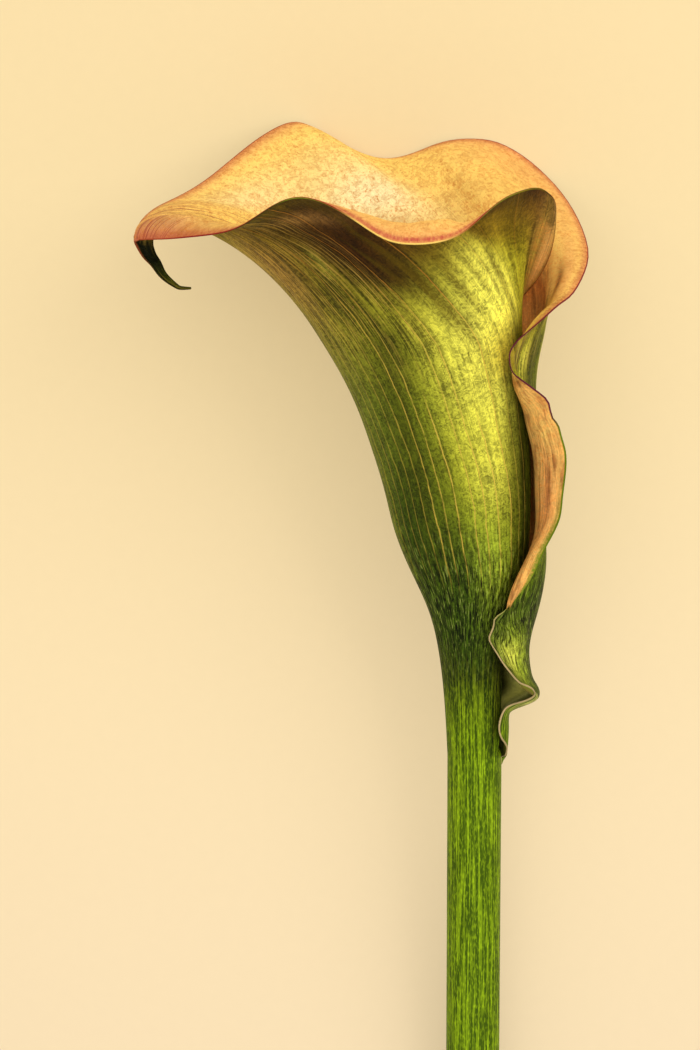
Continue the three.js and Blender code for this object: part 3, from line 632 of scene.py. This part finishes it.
q_grid = grown_vein(vein_grid, reach_grid)
index_grid = np.interp(q_grid, MAIN_VEINS, np.arange(len(MAIN_VEINS)))
pitch_grid = np.gradient(across_mm, axis=1) / np.maximum(np.gradient(index_grid, axis=1), 1e-3)
strengths = np.array([STRENGTH.get(v, FAINT) for v in MAIN_VEINS])
strength_grid = np.interp(index_grid, np.arange(len(MAIN_VEINS)), strengths)
for number, top in LOWER_VEINS.items():
    beside = np.abs(index_grid - MAIN_VEINS.index(number)) < 0.5
    fading = ease(reach_grid, top + 0.04, top - 0.04)
    strength_grid = np.where(beside, strength_grid * fading, strength_grid)
print("main veins:", len(MAIN_VEINS))

tail_end = np.stack([np.broadcast_to(q_grid[-1, first:last + 1], tail.shape[:2]),
                     along_mm[-1, first:last + 1] + horn_mm, np.full(tail.shape[:2], 4.0)], -1)
vein_at = everywhere(np.stack([index_grid, pitch_grid, strength_grid], -1), np.array([0.5, 1, 0]))
grain_at = everywhere(np.stack([q_grid, along_mm, edge_mm], -1), tail_end)
grain_at[(inside > 0) & (inside < 1), 2] = 0
level_grid = np.concatenate([levels, np.tile(tops, (len(limb_parts), 1))])
angle_grid = np.radians(vein_angle(vein_grid, level_grid))
ring_at = everywhere(grain_place(angle_grid, surface[..., 1]), np.zeros(3))
skin_reach = everywhere(reach_grid, 2 + horn_mm / TAIL_MM)

# %% [markdown]
# ## Colours laid on as washes
#
# A painter starts with one even ground and lays thin washes over it. The ground of each skin changes
# from base to rim; a wash is a soft spot round a vein and a reach, in one colour of a small palette.
# All of it follows the blade itself, so it holds from every side. Some washes are painted light: shade
# under the rolled lip, down the left of the belly, in the hollow under the far limb, in the curl's gap
# and where the blade tucks under the strip, and highlights on the belly, the far limb, the strip, the
# curl's flap, the bowl of the curl and along the front lip's edge.

# %% Palette
def srgb(*colour):
    """Linear colour from one given as 0 to 255 on a screen: ((c + 0.055) / 1.055) ^ 2.4."""
    return ((np.array(colour) / 255 + 0.055) / 1.055) ** 2.4


GRASS = srgb(100, 134, 8)
BOTTLE = srgb(42, 60, 4)
LEAF = srgb(108, 126, 18)
LIME = srgb(174, 170, 38)
STRAW = srgb(226, 218, 84)
OLIVE = srgb(132, 116, 20)
UMBER = srgb(52, 26, 1)
BRONZE = srgb(112, 78, 20)
SAGE = srgb(104, 108, 40)
MOSS = srgb(62, 66, 6)
NIGHT = srgb(16, 20, 1)
GOLD = srgb(255, 213, 108)
CREAM = srgb(255, 241, 182)
PEACH = srgb(242, 170, 100)
TAN = srgb(206, 152, 78)
BROWN = srgb(150, 88, 38)
BRICK = srgb(170, 78, 44)
ROSE = srgb(216, 110, 98)
CRIMSON = srgb(156, 32, 34)
PLUM = srgb(104, 34, 54)
CHALK = srgb(196, 170, 118)
FRESH = srgb(150, 168, 44)
PITH = srgb(248, 242, 140)
# Colour of a painted highlight, for the lit belly.
PAINTED_SUNLIGHT = srgb(255, 248, 96)


def ramp(stops, x):
    """Colour along x, straight between the stops {place: colour}."""
    channels = np.transpose(list(stops.values()))
    return np.stack([np.interp(x, list(stops), channel) for channel in channels], -1)


def washed(stops, washes, vein, reach):
    """A ground of stops along the reach, then each wash (vein, reach, width, length, colour, share) over
    the last: it covers share times exp(-(veins away / width)^2 - (reach away / length)^2)."""
    ground = ramp(stops, reach)
    for at_vein, at_reach, width, length, colour, share in washes:
        cover = share * np.exp(-((vein - at_vein) / width) ** 2 - ((reach - at_reach) / length) ** 2)
        ground = ground + (colour - ground) * cover[..., None]
    return ground


# %% Grounds and washes of the two skins; some washes are painted shade and highlights
OUTER_GROUND = {
    -0.1: GRASS, 0.06: GRASS, 0.2: BOTTLE, 0.4: BOTTLE, 0.58: LEAF, 0.85: LEAF, 1.05: LIME, 1.3: LIME,
    1.65: OLIVE, 1.97: OLIVE, 2.02: NIGHT, 2.3: NIGHT, 2.9: MOSS}
OUTER_WASHES = [
    # The LIME and STRAW washes on the belly, veins 42 to 70, are partly the leaf's own yellow green and
    # partly a painted highlight where it is lit; the brightest wash, at vein 42, is a painted highlight.
    (70, 0.75, 38, 0.17, LIME, 0.75), (60, 0.95, 42, 0.3, LIME, 0.85), (62, 1.04, 32, 0.3, STRAW, 0.9),
    (44, 1.3, 20, 0.2, STRAW, 0.9), (42, 1.15, 18, 0.24, PAINTED_SUNLIGHT, 0.8), (68, 0.68, 16, 0.08, STRAW, 0.3),
    (72, 0.45, 22, 0.12, FRESH, 0.7), (106, 0.47, 20, 0.13, BOTTLE, 0.75), (78, 1.3, 8, 0.2, MOSS, 0.35),
    (160, 1.2, 34, 0.4, SAGE, 0.8), (175, 0.75, 40, 0.4, SAGE, 0.6), (150, 1.3, 20, 0.3, BRONZE, 0.45),
    (160, 1.28, 15, 0.2, TAN, 0.45), (180, 2, 13, 0.09, NIGHT, 1), (138, 0.55, 30, 0.24, BOTTLE, 0.95),
    # The MOSS washes at veins 116, 124 and 128 are painted shade: a darker stroke down the shaded left of
    # the belly.
    (95, 0.36, 60, 0.1, BOTTLE, 0.6), (124, 0.78, 15, 0.26, MOSS, 0.8), (116, 1.02, 15, 0.13, MOSS, 0.85),
    (103, 0.66, 9, 0.1, MOSS, 0.4), (128, 1.18, 14, 0.12, MOSS, 0.6), (150, 1.55, 26, 0.35, BRONZE, 0.6),
    # The BRONZE and UMBER washes from vein 45 to 110, high on the limb, are partly the blade's own brown
    # and partly painted shade under the rolled front lip.
    (84, 1.62, 34, 0.2, BRONZE, 0.9), (56, 1.75, 42, 0.2, BRONZE, 0.85), (106, 1.75, 36, 0.42, UMBER, 1),
    (110, 1.5, 22, 0.24, UMBER, 1), (98, 1.38, 15, 0.11, UMBER, 0.85), (113, 1.78, 14, 0.07, TAN, 0.25),
    (128, 1.4, 2.2, 0.09, STRAW, 0.25), (45, 1.98, 45, 0.1, UMBER, 0.9), (0, 1.88, 22, 0.17, BRONZE, 0.85),
    (2, 2, 30, 0.13, UMBER, 0.95), (-19, 1.55, 12, 0.32, PEACH, 0.85), (-25, 1.5, 3, 0.3, BROWN, 0.5),
    # Painted shade: the UMBER wash at vein -3 is a painted crease along the flap's fold; the NIGHT wash at
    # vein 32 and the MOSS washes at veins 24 and 46 are painted shadow where the near blade tucks under the
    # strip; the two NIGHT washes at vein 28, low down, are painted shadow of the curl on the blade's base.
    (-11, 1.6, 4, 0.3, OLIVE, 0.6), (-3, 1.6, 2.5, 0.3, UMBER, 0.6), (32, 0.68, 15, 0.36, NIGHT, 0.92),
    (46, 0.7, 9, 0.3, MOSS, 0.6), (24, 0.98, 12, 0.1, MOSS, 0.6), (28, 0.2, 28, 0.13, NIGHT, 1),
    (28, 0.07, 13, 0.06, NIGHT, 0.85), (395, 1.2, 34, 0.4, MOSS, 0.45), (380, 1.05, 12, 0.3, BOTTLE, 0.9),
    (408, 1.45, 9, 0.4, OLIVE, 0.8), (392, 1.2, 8, 0.22, STRAW, 0.45), (386, 1.2, 3, 0.3, UMBER, 0.7),
    (404, 1.4, 4, 0.4, UMBER, 0.7), (414, 1.5, 3, 0.3, STRAW, 0.5), (408, 0.32, 20, 0.07, FRESH, 0.5),
    # The STRAW wash at vein 411 is a painted highlight on the curl's flap; the NIGHT wash at vein 420 is
    # painted shade in the notch beside it.
    (411, 0.27, 14, 0.045, STRAW, 0.6), (398, 0.24, 16, 0.05, FRESH, 0.8),
    (420, 0.345, 9, 0.02, NIGHT, 0.6), (417, 0.15, 8, 0.022, PITH, 0.7)]
INNER_GROUND = {
    0: SAGE, 0.3: SAGE, 0.42: TAN, 1: TAN, 1.2: BROWN, 1.42: GOLD, 1.9: GOLD, 2: PEACH, 2.1: MOSS}
INNER_WASHES = [
    # The CREAM washes at veins 268 and 272 are a painted highlight on the inside of the far limb.
    (272, 1.5, 26, 0.14, CREAM, 0.9), (268, 1.7, 22, 0.14, CREAM, 0.2), (335, 1.6, 18, 0.15, TAN, 0.3),
    (174, 1.97, 26, 0.3, ROSE, 0.55), (158, 1.97, 20, 0.12, BRICK, 0.5), (65, 1.92, 45, 0.16, PEACH, 0.6),
    # The BROWN washes at veins 340 to 376 are partly the petal's own brown and partly painted shade in the
    # hollow under the far limb; the thin UMBER wash at vein 374 is a painted crease.
    (340, 1.12, 28, 0.26, BROWN, 0.35), (362, 1.42, 14, 0.18, BROWN, 0.7), (376, 1.6, 8, 0.13, BROWN, 0.8),
    (374, 1.62, 3.5, 0.06, UMBER, 0.9), (352, 1.88, 24, 0.16, PEACH, 0.6), (372, 1.74, 12, 0.1, TAN, 0.4),
    (380, 1.78, 14, 0.1, PEACH, 0.5), (418, 0.75, 20, 0.4, GOLD, 0.5), (420, 0.72, 12, 0.2, PEACH, 0.6),
    # The small GOLD wash at vein 421 is a painted highlight on the strip.
    (421, 0.89, 5, 0.03, GOLD, 0.5), (420, 0.7, 4, 0.09, BRICK, 0.55), (412, 0.6, 6, 0.12, BROWN, 0.5),
    (236, 1.7, 16, 0.16, CREAM, 0.45), (168, 1.84, 9, 0.08, PLUM, 0.3), (424, 0.42, 10, 0.06, PEACH, 0.5),
    # In the bowl of the curl, the PITH and STRAW washes at veins 332 to 360 are painted light, paler than
    # its own sage green; the NIGHT wash at vein 308 is painted shade in the gap by the stem.
    (332, 0.135, 13, 0.06, PITH, 0.95), (360, 0.14, 18, 0.06, PITH, 0.7), (334, 0.13, 20, 0.06, STRAW, 0.5),
    (308, 0.15, 9, 0.07, NIGHT, 0.9)]
# Along the front lip's edge, the GOLD stops from vein 45 to 84 on top and the FRESH and STRAW stops from
# vein 24 to 104 underneath make a pale line of painted rim light; the other stops are the margin's own
# colour.
RIM_TOP = {
    -28: BROWN, -10: UMBER, 8: PLUM, 30: CRIMSON, 45: GOLD, 84: GOLD, 92: CRIMSON, 150: CRIMSON, 168: BRICK,
    178: UMBER, 190: UMBER, 200: BROWN, 240: BRICK, 290: BRICK, 335: CRIMSON, 430: PLUM}
RIM_UNDER = {
    -28: BROWN, -10: UMBER, 8: OLIVE, 24: FRESH, 45: STRAW, 80: STRAW, 94: FRESH, 104: FRESH, 112: MOSS,
    165: MOSS, 176: UMBER, 190: UMBER, 240: BRICK, 395: BRICK, 402: PLUM, 430: PLUM}
STRIP_EDGE = {0: CHALK, 0.36: CHALK, 0.42: FRESH, 0.55: LEAF, 0.9: LEAF, 0.94: PLUM, 2: PLUM}
UNDER_EDGE = {0: MOSS, 1: MOSS, 1.2: BROWN}

# %% Colour of each vertex: the ground, the lip along the free edge, and where the front lip blushes
vein_all = everywhere(vein_grid, veins[None, first:last + 1])
nearest_rim = everywhere(to_rim < to_sides, True)[:, None]
rim_lip = np.where(inside[:, None] > 0.4, ramp(RIM_TOP, vein_all), ramp(RIM_UNDER, vein_all))
lip = np.where(nearest_rim, rim_lip, ramp(STRIP_EDGE, skin_reach))
lip = np.where((vein_all < 100)[:, None] & ~nearest_rim, ramp(UNDER_EDGE, skin_reach), lip)
ground = (washed(OUTER_GROUND, OUTER_WASHES, vein_all, skin_reach) * (1 - inside[:, None])
          + washed(INNER_GROUND, INNER_WASHES, vein_all, skin_reach) * inside[:, None])
blush = np.exp(-((vein_all - 62) / 42) ** 2) * ease(skin_reach, 1.6, 1.8)
print("ground colours:", ground.mean(0).round(3))

# %% The pieces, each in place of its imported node
spathe = make_piece("spathe_blade", spathe_points, spathe_faces.tolist(), {
    "vein": vein_at, "grain": grain_at, "ring": ring_at, "reach": skin_reach, "inside": inside,
    "ground": ground, "lip": lip, "blush": blush})
points, faces = closed_skin(stem_rows)
turn = np.append(np.tile(turns(STEM_SIDES), len(stem_rows)), [0, 0])
cut_rows = np.append(np.repeat(np.arange(len(stem_rows)) < len(face) + 2, STEM_SIDES), [True, False])
degrees = np.degrees(turn)
# The stem's top takes the blade's ground and washes, so a little of the painted shadow by the curl falls on
# it.
stalk_ground = washed(OUTER_GROUND, OUTER_WASHES, np.where(degrees > 270, degrees - 360, degrees),
                      (points[:, 1] - BASE_Y) / BLADE_MM)
stem = make_piece("stem_stalk", points, faces, {
    "ring": grain_place(turn, points[:, 1]), "cut": cut_rows, "ground": stalk_ground})
points, faces = closed_skin(spadix_rows)
floret_height = np.append((bumps / FLORET).ravel(), [0, 0])
spadix = make_piece("spadix_florets", points, faces, {"floret": floret_height})

# %% [markdown]
# ## Camera, light and floor
#
# The flower lies on a plain cream table, and the camera hangs straight over it. Large soft lights keep
# the table even and let the folds of the blade show. The table gives off a little light of its own, as
# a light table does, which keeps the flower's shadow faint.

# %% Camera straight above the middle of the view
SENSOR = 36  # mm across the camera's sensor
camera = placed("camera", bpy.data.cameras.new("camera"))
camera.data.lens = SENSOR * VIEW / (2 * CENTRE[1] * STEP)
camera.data.clip_end = 20
camera.location = (shift + (0, 0, PLANE + VIEW)) / 1000
bpy.context.scene.camera = camera
print("lens, mm:", round(camera.data.lens, 2))

# %% Soft lights and the room's even light
HEAD = Vector((0, 0.08, 0.03))  # middle of the flower's head, m


def soft_light(name, place, size, power):
    """Square light of the given size in metres and power in watts that faces the flower's head."""
    light = placed(name, bpy.data.lights.new(name, "AREA"))
    light.data.size, light.data.energy, light.location = size, power, place
    light.rotation_euler = (Vector(place) - HEAD).to_track_quat("Z", "Y").to_euler()


soft_light("softbox", (0.05, 0.1, 1.3), 1.6, 6.0)
soft_light("window", (0.45, 0.3, 0.55), 0.5, 1.4)
world = bpy.data.worlds.new("room")
world.use_nodes = True
tone, brightness = world.node_tree.nodes["Background"].inputs[:2]
tone.default_value, brightness.default_value = (1, 0.98, 0.94, 1), 0.86
bpy.context.scene.world = world
bpy.context.scene.view_settings.view_transform = "Standard"

# %% Floor
mesh = bpy.data.meshes.new("table")
mesh.from_pydata([(-3, -3, 0), (3, -3, 0), (3, 3, 0), (-3, 3, 0)], [], [(0, 1, 2, 3)])
table = placed("table", mesh)

# %% [markdown]
# ## Finishes as expressions
#
# A material is a tree of nodes. Written out by hand it hides its own sense, so a socket gets the
# arithmetic signs here, and a finish reads like the sentence that describes it.

# %% A socket with arithmetic, and a finish that makes its nodes
class Value:
    """One socket of a finish. An expression on values adds its Math nodes."""

    def __init__(self, finish, socket):
        self.finish, self.socket = finish, socket

    def math(self, operation, *others):
        return self.finish.node("Math", {"operation": operation}, [self, *others])

    def __add__(self, other):
        return self.math("ADD", other)

    def __sub__(self, other):
        return self.math("SUBTRACT", other)

    def __mul__(self, other):
        return self.math("MULTIPLY", other)

    def __rsub__(self, other):
        return self.finish.node("Math", {"operation": "SUBTRACT"}, [other, self])

    __radd__, __rmul__ = __add__, __mul__

    def between(self, low, high):
        """0 below low, 1 above high, eased between; high may be the smaller one."""
        return self.finish.node("MapRange", {"interpolation_type": "SMOOTHSTEP"}, [self, low, high])


class Finish:
    """A material round one principled shader, whose even values are given by name."""

    def __init__(self, name, **even):
        self.material = bpy.data.materials.new(name)
        self.material.use_nodes = True
        self.tree = self.material.node_tree
        self.shader = self.tree.nodes["Principled BSDF"]
        for socket, value in even.items():
            self.shader.inputs[socket.replace("_", " ")].default_value = value

    def node(self, kind, settings=(), values=(), output=0):
        """A new node: its settings first, then the values or links of its sockets."""
        made = self.tree.nodes.new("ShaderNode" + kind)
        for name, value in dict(settings).items():
            setattr(made, name, value)
        for key, value in (values.items() if isinstance(values, dict) else enumerate(values)):
            self.put(value, made.inputs[key])
        return Value(self, made.outputs[output])

    def put(self, value, socket):
        """Links a value to a socket, or sets the socket to a number or colour."""
        if isinstance(value, Value):
            self.tree.links.new(value.socket, socket)
        else:
            if socket.type == "RGBA" and len(value) == 3:
                value = (*value, 1)
            socket.default_value = value

    def attribute(self, name, output=0):
        """A value carried by the mesh: output 0 is a colour, 1 a vector, 2 a number."""
        return self.node("Attribute", {"attribute_name": name}, output=output)

    def parts(self, vector):
        """The three numbers of a vector."""
        split = self.node("SeparateXYZ", values=[vector])
        return [Value(self, socket) for socket in split.socket.node.outputs]

    def vector(self, x, y, z):
        return self.node("CombineXYZ", values=[x, y, z])

    def millimetres(self):
        """Place on the object, in mm."""
        return self.scaled(self.node("TexCoord", output=3), 1000)

    def noise(self, place, scale, detail=2, distortion=0, roughness=0.5):
        """Cloudy noise about 0, mostly between -0.5 and 0.5."""
        cloud = self.node("TexNoise", values={"Vector": place, "Scale": scale, "Detail": detail,
                          "Distortion": distortion, "Roughness": roughness})
        return (cloud - 0.5) * 2

    def worms(self, place, scale, turns):
        """Fingerprint-like wrinkles from -1 to 1: the sine of turns times a noise follows its contours."""
        return (self.noise(place, scale, 2, 0.6) * turns).math("SINE")

    def mix(self, a, b, share):
        """Colour a turned into b by a share from 0 to 1."""
        return self.node("Mix", {"data_type": "RGBA", "clamp_factor": True},
                         {0: share, 6: a, 7: b}, output=2)

    def scaled(self, colour, by):
        """Colour made lighter or darker by a factor, or a place scaled by it."""
        return self.node("VectorMath", {"operation": "SCALE"}, {0: colour, "Scale": by})

    def bump(self, height, distance):
        """Normal of a relief whose height, 0 to 1, stands for distance mm."""
        return self.node("Bump", values={"Height": height, "Distance": distance / 1000})

    def coat(self, piece, **surface):
        """Gives the piece this finish, with the shader's sockets that vary over the surface."""
        for socket, value in surface.items():
            self.put(value, self.shader.inputs[socket.replace("_", " ")])
        piece.data.materials.append(self.material)


# %% [markdown]
# ## The blade's two skins
#
# Outside, the blade is a waxy leaf: yellow green with darker flanks, the left one partly painted shade,
# thin raised yellow veins with a painted shadow along one side, a fine wrinkled grain and broad folds
# painted as
# shade. Inside it is a petal: golden orange, mottled peach and brown, with a crimson line along the margin.
# Both are one finish here, which changes from one skin to the other over the rounded edge.

# %% Grain shared by the stem and the base of the spathe
def lengthwise(finish):
    """Fine lines along the stem: noise round the stem, drawn out along it and broken into dashes. The
    numbers are ribs, dashes and slow patches."""
    place = finish.attribute("ring", 1)
    ribs = finish.noise(place, 6.5, 1, 0.1)
    short = finish.node("VectorMath", {"operation": "MULTIPLY"}, [place, (1, 1, 10)])
    dashes = finish.noise(short, 7, 2)
    return ribs, dashes, finish.noise(finish.millimetres(), 0.2, 2, 0.4)


def stalk_colour(finish, ground, ribs, dashes, patches):
    """Ground colour with lighter, yellower lines where the ribs stand."""
    lines = ribs.between(-0.1, 0.32) * 0.55 + dashes.between(-0.1, 0.38) * 0.45
    yellower = finish.mix(ground, srgb(180, 190, 30), 0.22)
    lined = finish.mix(finish.scaled(ground, 0.36), finish.scaled(yellower, 1.58), lines)
    return finish.scaled(lined, 1 + patches * 0.3)


# %% Finish of the blade
blade = Finish("blade of the spathe", Specular_IOR_Level=0.06)
ground_colour, lip_colour = blade.attribute("ground"), blade.attribute("lip")
q, along, to_edge = blade.parts(blade.attribute("grain", 1))
index, pitch, strength = blade.parts(blade.attribute("vein", 1))
skin, rise, blush = [blade.attribute(name, 2) for name in ("inside", "reach", "blush")]
mm, mix, scaled = blade.millimetres(), blade.mix, blade.scaled
side = skin * 40


def grown(across, lengthways, start, detail, swirl):
    """Noise drawn out along the veins: how close it is across and along them, and where it starts."""
    return blade.noise(blade.vector(q * across, along * lengthways, start), 1, detail, swirl)


streaks = grown(0.55, 0.05, side, 3, 0.3)
fine_streaks = grown(1.6, 0.1, side + 9, 2, 0.2)
dashes = grown(0.3, 0.3, side + 3, 2, 0.5)
# Broad lengthwise folds, painted as shade: darker and lighter bands along the veins.
fold_shade = grown(0.13, 0.035, 31, 1, 0.3)
wrinkle = blade.noise(mm, 1.2, 3, 2, 0.6)
worm = blade.worms(mm, 0.6, 13)
cloud = blade.noise(mm, 0.16, 2, 0.8)
upper = rise.between(0.85, 1.15)
fan = upper * ((q - 135).math("ABSOLUTE").between(70, 38) + q.between(372, 384) * 0.7)
low = rise.between(0.3, 0.12)
middle = rise.between(0.62, 0.36)
curl = q.between(388, 400) * rise.between(0.42, 0.36)

signed = (index - index.math("ROUND")) * pitch + blade.noise(mm, 0.18, 2) * 0.4
line = (signed.math("ABSOLUTE").between(0.2, 0.05) * strength * rise.between(0.38, 0.55)
        * dashes.between(-0.7, 0.1))
# Painted shade: a dark band along one side of each raised vein, as if the vein cast a shadow.
beside = signed.between(-0.15, -0.3) * signed.between(-1.3, -0.4) * strength * rise.between(0.5, 0.8)
# Brightness of the leaf: its mottled grain, and the painted shade of the broad folds.
mottle_and_fold_shade = (1 + wrinkle * (0.85 - upper * 0.3) + worm * (0.24 - middle * 0.1)
         + dashes * (0.3 + middle * 1.8) * (1 - curl * 0.7) + streaks * (0.4 + fan * 0.9)
         + fine_streaks * (0.5 + fan * 1.5 + middle * 0.9) + cloud * 0.4 + fold_shade * (0.2 + upper * 0.6))
leaf = scaled(ground_colour, mottle_and_fold_shade.math("MAXIMUM", 0.35))
# Painted shade: in the folds' troughs the upper blade turns olive brown.
leaf = mix(leaf, srgb(112, 88, 12), fold_shade.between(0, -0.5) * (upper - fan) * 0.4)
# The painted vein shadow darkens the leaf.
leaf = scaled(leaf, 1 - beside * 0.35)
vein_colour = mix(srgb(222, 186, 74), srgb(190, 124, 42), rise.between(1, 1.4))
leaf = mix(leaf, vein_colour, line * 0.8)
leaf = mix(leaf, srgb(176, 138, 62), (streaks + fine_streaks * 0.9).between(0.05, 0.5) * fan * 0.75)
flecks = grown(0.2, 0.34, 5, 3, 1).between(0.46, 0.58)
leaf = mix(leaf, srgb(232, 152, 98), flecks * fan * rise.between(1.6, 1.45) * 0.85)
hairs = grown(0.6, 0.4, 47, 2, 0.9)
leaf = scaled(leaf, 1 + hairs * middle * 2.8)
leaf = mix(leaf, srgb(150, 158, 76), hairs.between(0.16, 0.42) * middle * 0.75)
ribs, fine_ribs, patches = lengthwise(blade)
leaf = mix(leaf, stalk_colour(blade, ground_colour, ribs, fine_ribs, patches), low)

fibre = blade.noise(mm, 1, 3, 1.6, 0.7)
petal_worm = blade.worms(mm, 0.7, 8)
coloured = rise.between(0.2, 0.36)
petal = mix(ground_colour, srgb(226, 142, 62),
            fibre.between(-0.02, 0.45) * (0.75 + cloud * 0.6) * coloured)
petal = mix(petal, srgb(228, 146, 66), petal_worm.between(0, 1) * coloured * 0.28)
petal = scaled(petal, 1 + cloud * 0.16 - fibre * 0.2 - petal_worm * 0.05)
petal_streak = grown(0.8, 0.07, 21, 3, 0.4)
tip_share = rise.between(1.2, 1.6) * (q - 190).math("ABSOLUTE").between(85, 22)
petal = mix(petal, srgb(164, 78, 56), petal_streak.between(-0.05, 0.35) * tip_share)
strip = q.between(385, 400) * rise.between(1.1, 1)
blotch = grown(0.24, 0.15, 40, 3, 1)
petal = mix(petal, srgb(150, 82, 42), blotch.between(-0.1, 0.35) * strip * 0.6)
petal = mix(petal, srgb(122, 66, 26), (dashes * 0.6 + streaks * 0.8).between(0, 0.5) * strip * 0.5)
petal = scaled(petal, 1 + (0.1 + petal_worm * 0.14 + petal_streak * 0.6) * strip)
hem_green = strip * to_edge.between(1.5, 0.5) * rise.between(0.8, 0.58) * (0.8 + fibre)
petal = mix(petal, srgb(120, 132, 34), hem_green)
flank = rise.between(1.5, 1.35) * rise.between(0.6, 0.8) * q.between(330, 340) * (1 - strip)
petal = scaled(petal, 1 + (petal_streak * 0.3 + blotch * 0.9 - fibre * 0.7) * flank)
band = to_edge.between(2.6, 0.3) * (0.6 + fibre * 0.7) * rise.between(1.5, 1.7) * skin
petal = mix(petal, srgb(172, 72, 44), band * 0.75)
hem = to_edge.between(1.7, 1) * to_edge.between(0.35, 0.7) * blush * skin
petal = mix(petal, srgb(184, 60, 62), hem * (0.55 + fine_streaks * 0.8))

flap = q.between(-7, -13) * rise.between(1, 1.3) * rise.between(1.97, 1.82)
petal = scaled(petal, 1 + streaks * flap * (1 - skin) * 1.1)
is_petal = (skin + flap * 0.85).between(0.5, 1)
skin_colour = mix(leaf, petal, is_petal)
skin_colour = mix(skin_colour, lip_colour, to_edge.between(0.26, 0.06))
relief = line * 0.5 + wrinkle * 0.35 + worm * 0.1 + fine_streaks * 0.25 + (ribs + fine_ribs) * low * 0.3
blade.coat(spathe, Base_Color=skin_colour, Roughness=0.52 + wrinkle * 0.14 + is_petal * 0.06,
           Normal=blade.bump(relief, 0.28))

# %% Finish of the stem
stalk = Finish("skin of the stem", Specular_IOR_Level=0.06)
ribs, fine_ribs, patches = lengthwise(stalk)
green = stalk_colour(stalk, stalk.attribute("ground"), ribs, fine_ribs, patches)
pores = stalk.noise(stalk.millimetres(), 2.2, 2)
flesh = stalk.mix(srgb(196, 210, 140), srgb(132, 160, 74), pores.between(0, 0.5))
stalk.coat(stem, Base_Color=stalk.mix(green, flesh, stalk.attribute("cut", 2)),
           Roughness=0.48 + fine_ribs * 0.1, Normal=stalk.bump(ribs * 0.3 + fine_ribs * 0.3, 0.26))

# %% Finish of the spadix
finger = Finish("florets of the spadix", Specular_IOR_Level=0.2)
floret = finger.attribute("floret", 2)
grains = finger.noise(finger.millimetres(), 3, 3)
# Yellow on the florets' tops is their pollen; the darker orange in the hollows between them is partly their
# own colour and partly painted shade.
pollen_and_hollow_shade = finger.mix(srgb(168, 104, 24), srgb(244, 196, 84), floret.between(-0.35, 0.5))
finger.coat(spadix, Base_Color=finger.scaled(pollen_and_hollow_shade, 1 + grains * 0.3), Roughness=0.8 + grains * 0.1,
            Normal=finger.bump(grains, 0.08))

# %% Finish of the table: it glows a little and is painted lighter near the flower, to fade the flower's shadow
cream = Finish("cream table", Specular_IOR_Level=0.1, Emission_Strength=0.4)
table_x, table_y, _ = cream.parts(cream.node("TexCoord", output=3))
paper = cream.noise(cream.millimetres(), 0.4, 3)
wall = cream.mix(srgb(228, 206, 169), srgb(236, 212, 162), table_y.between(-0.08, 0.16))
# Painted light: the table is a little lighter round the flower, where its shadow falls.
near = (table_x * table_x + table_y * table_y).between(0.03, 0)
cream.coat(table, Base_Color=cream.scaled(wall, 0.62 + near * 0.08 + paper * 0.012),
           Emission_Color=wall, Roughness=0.9)
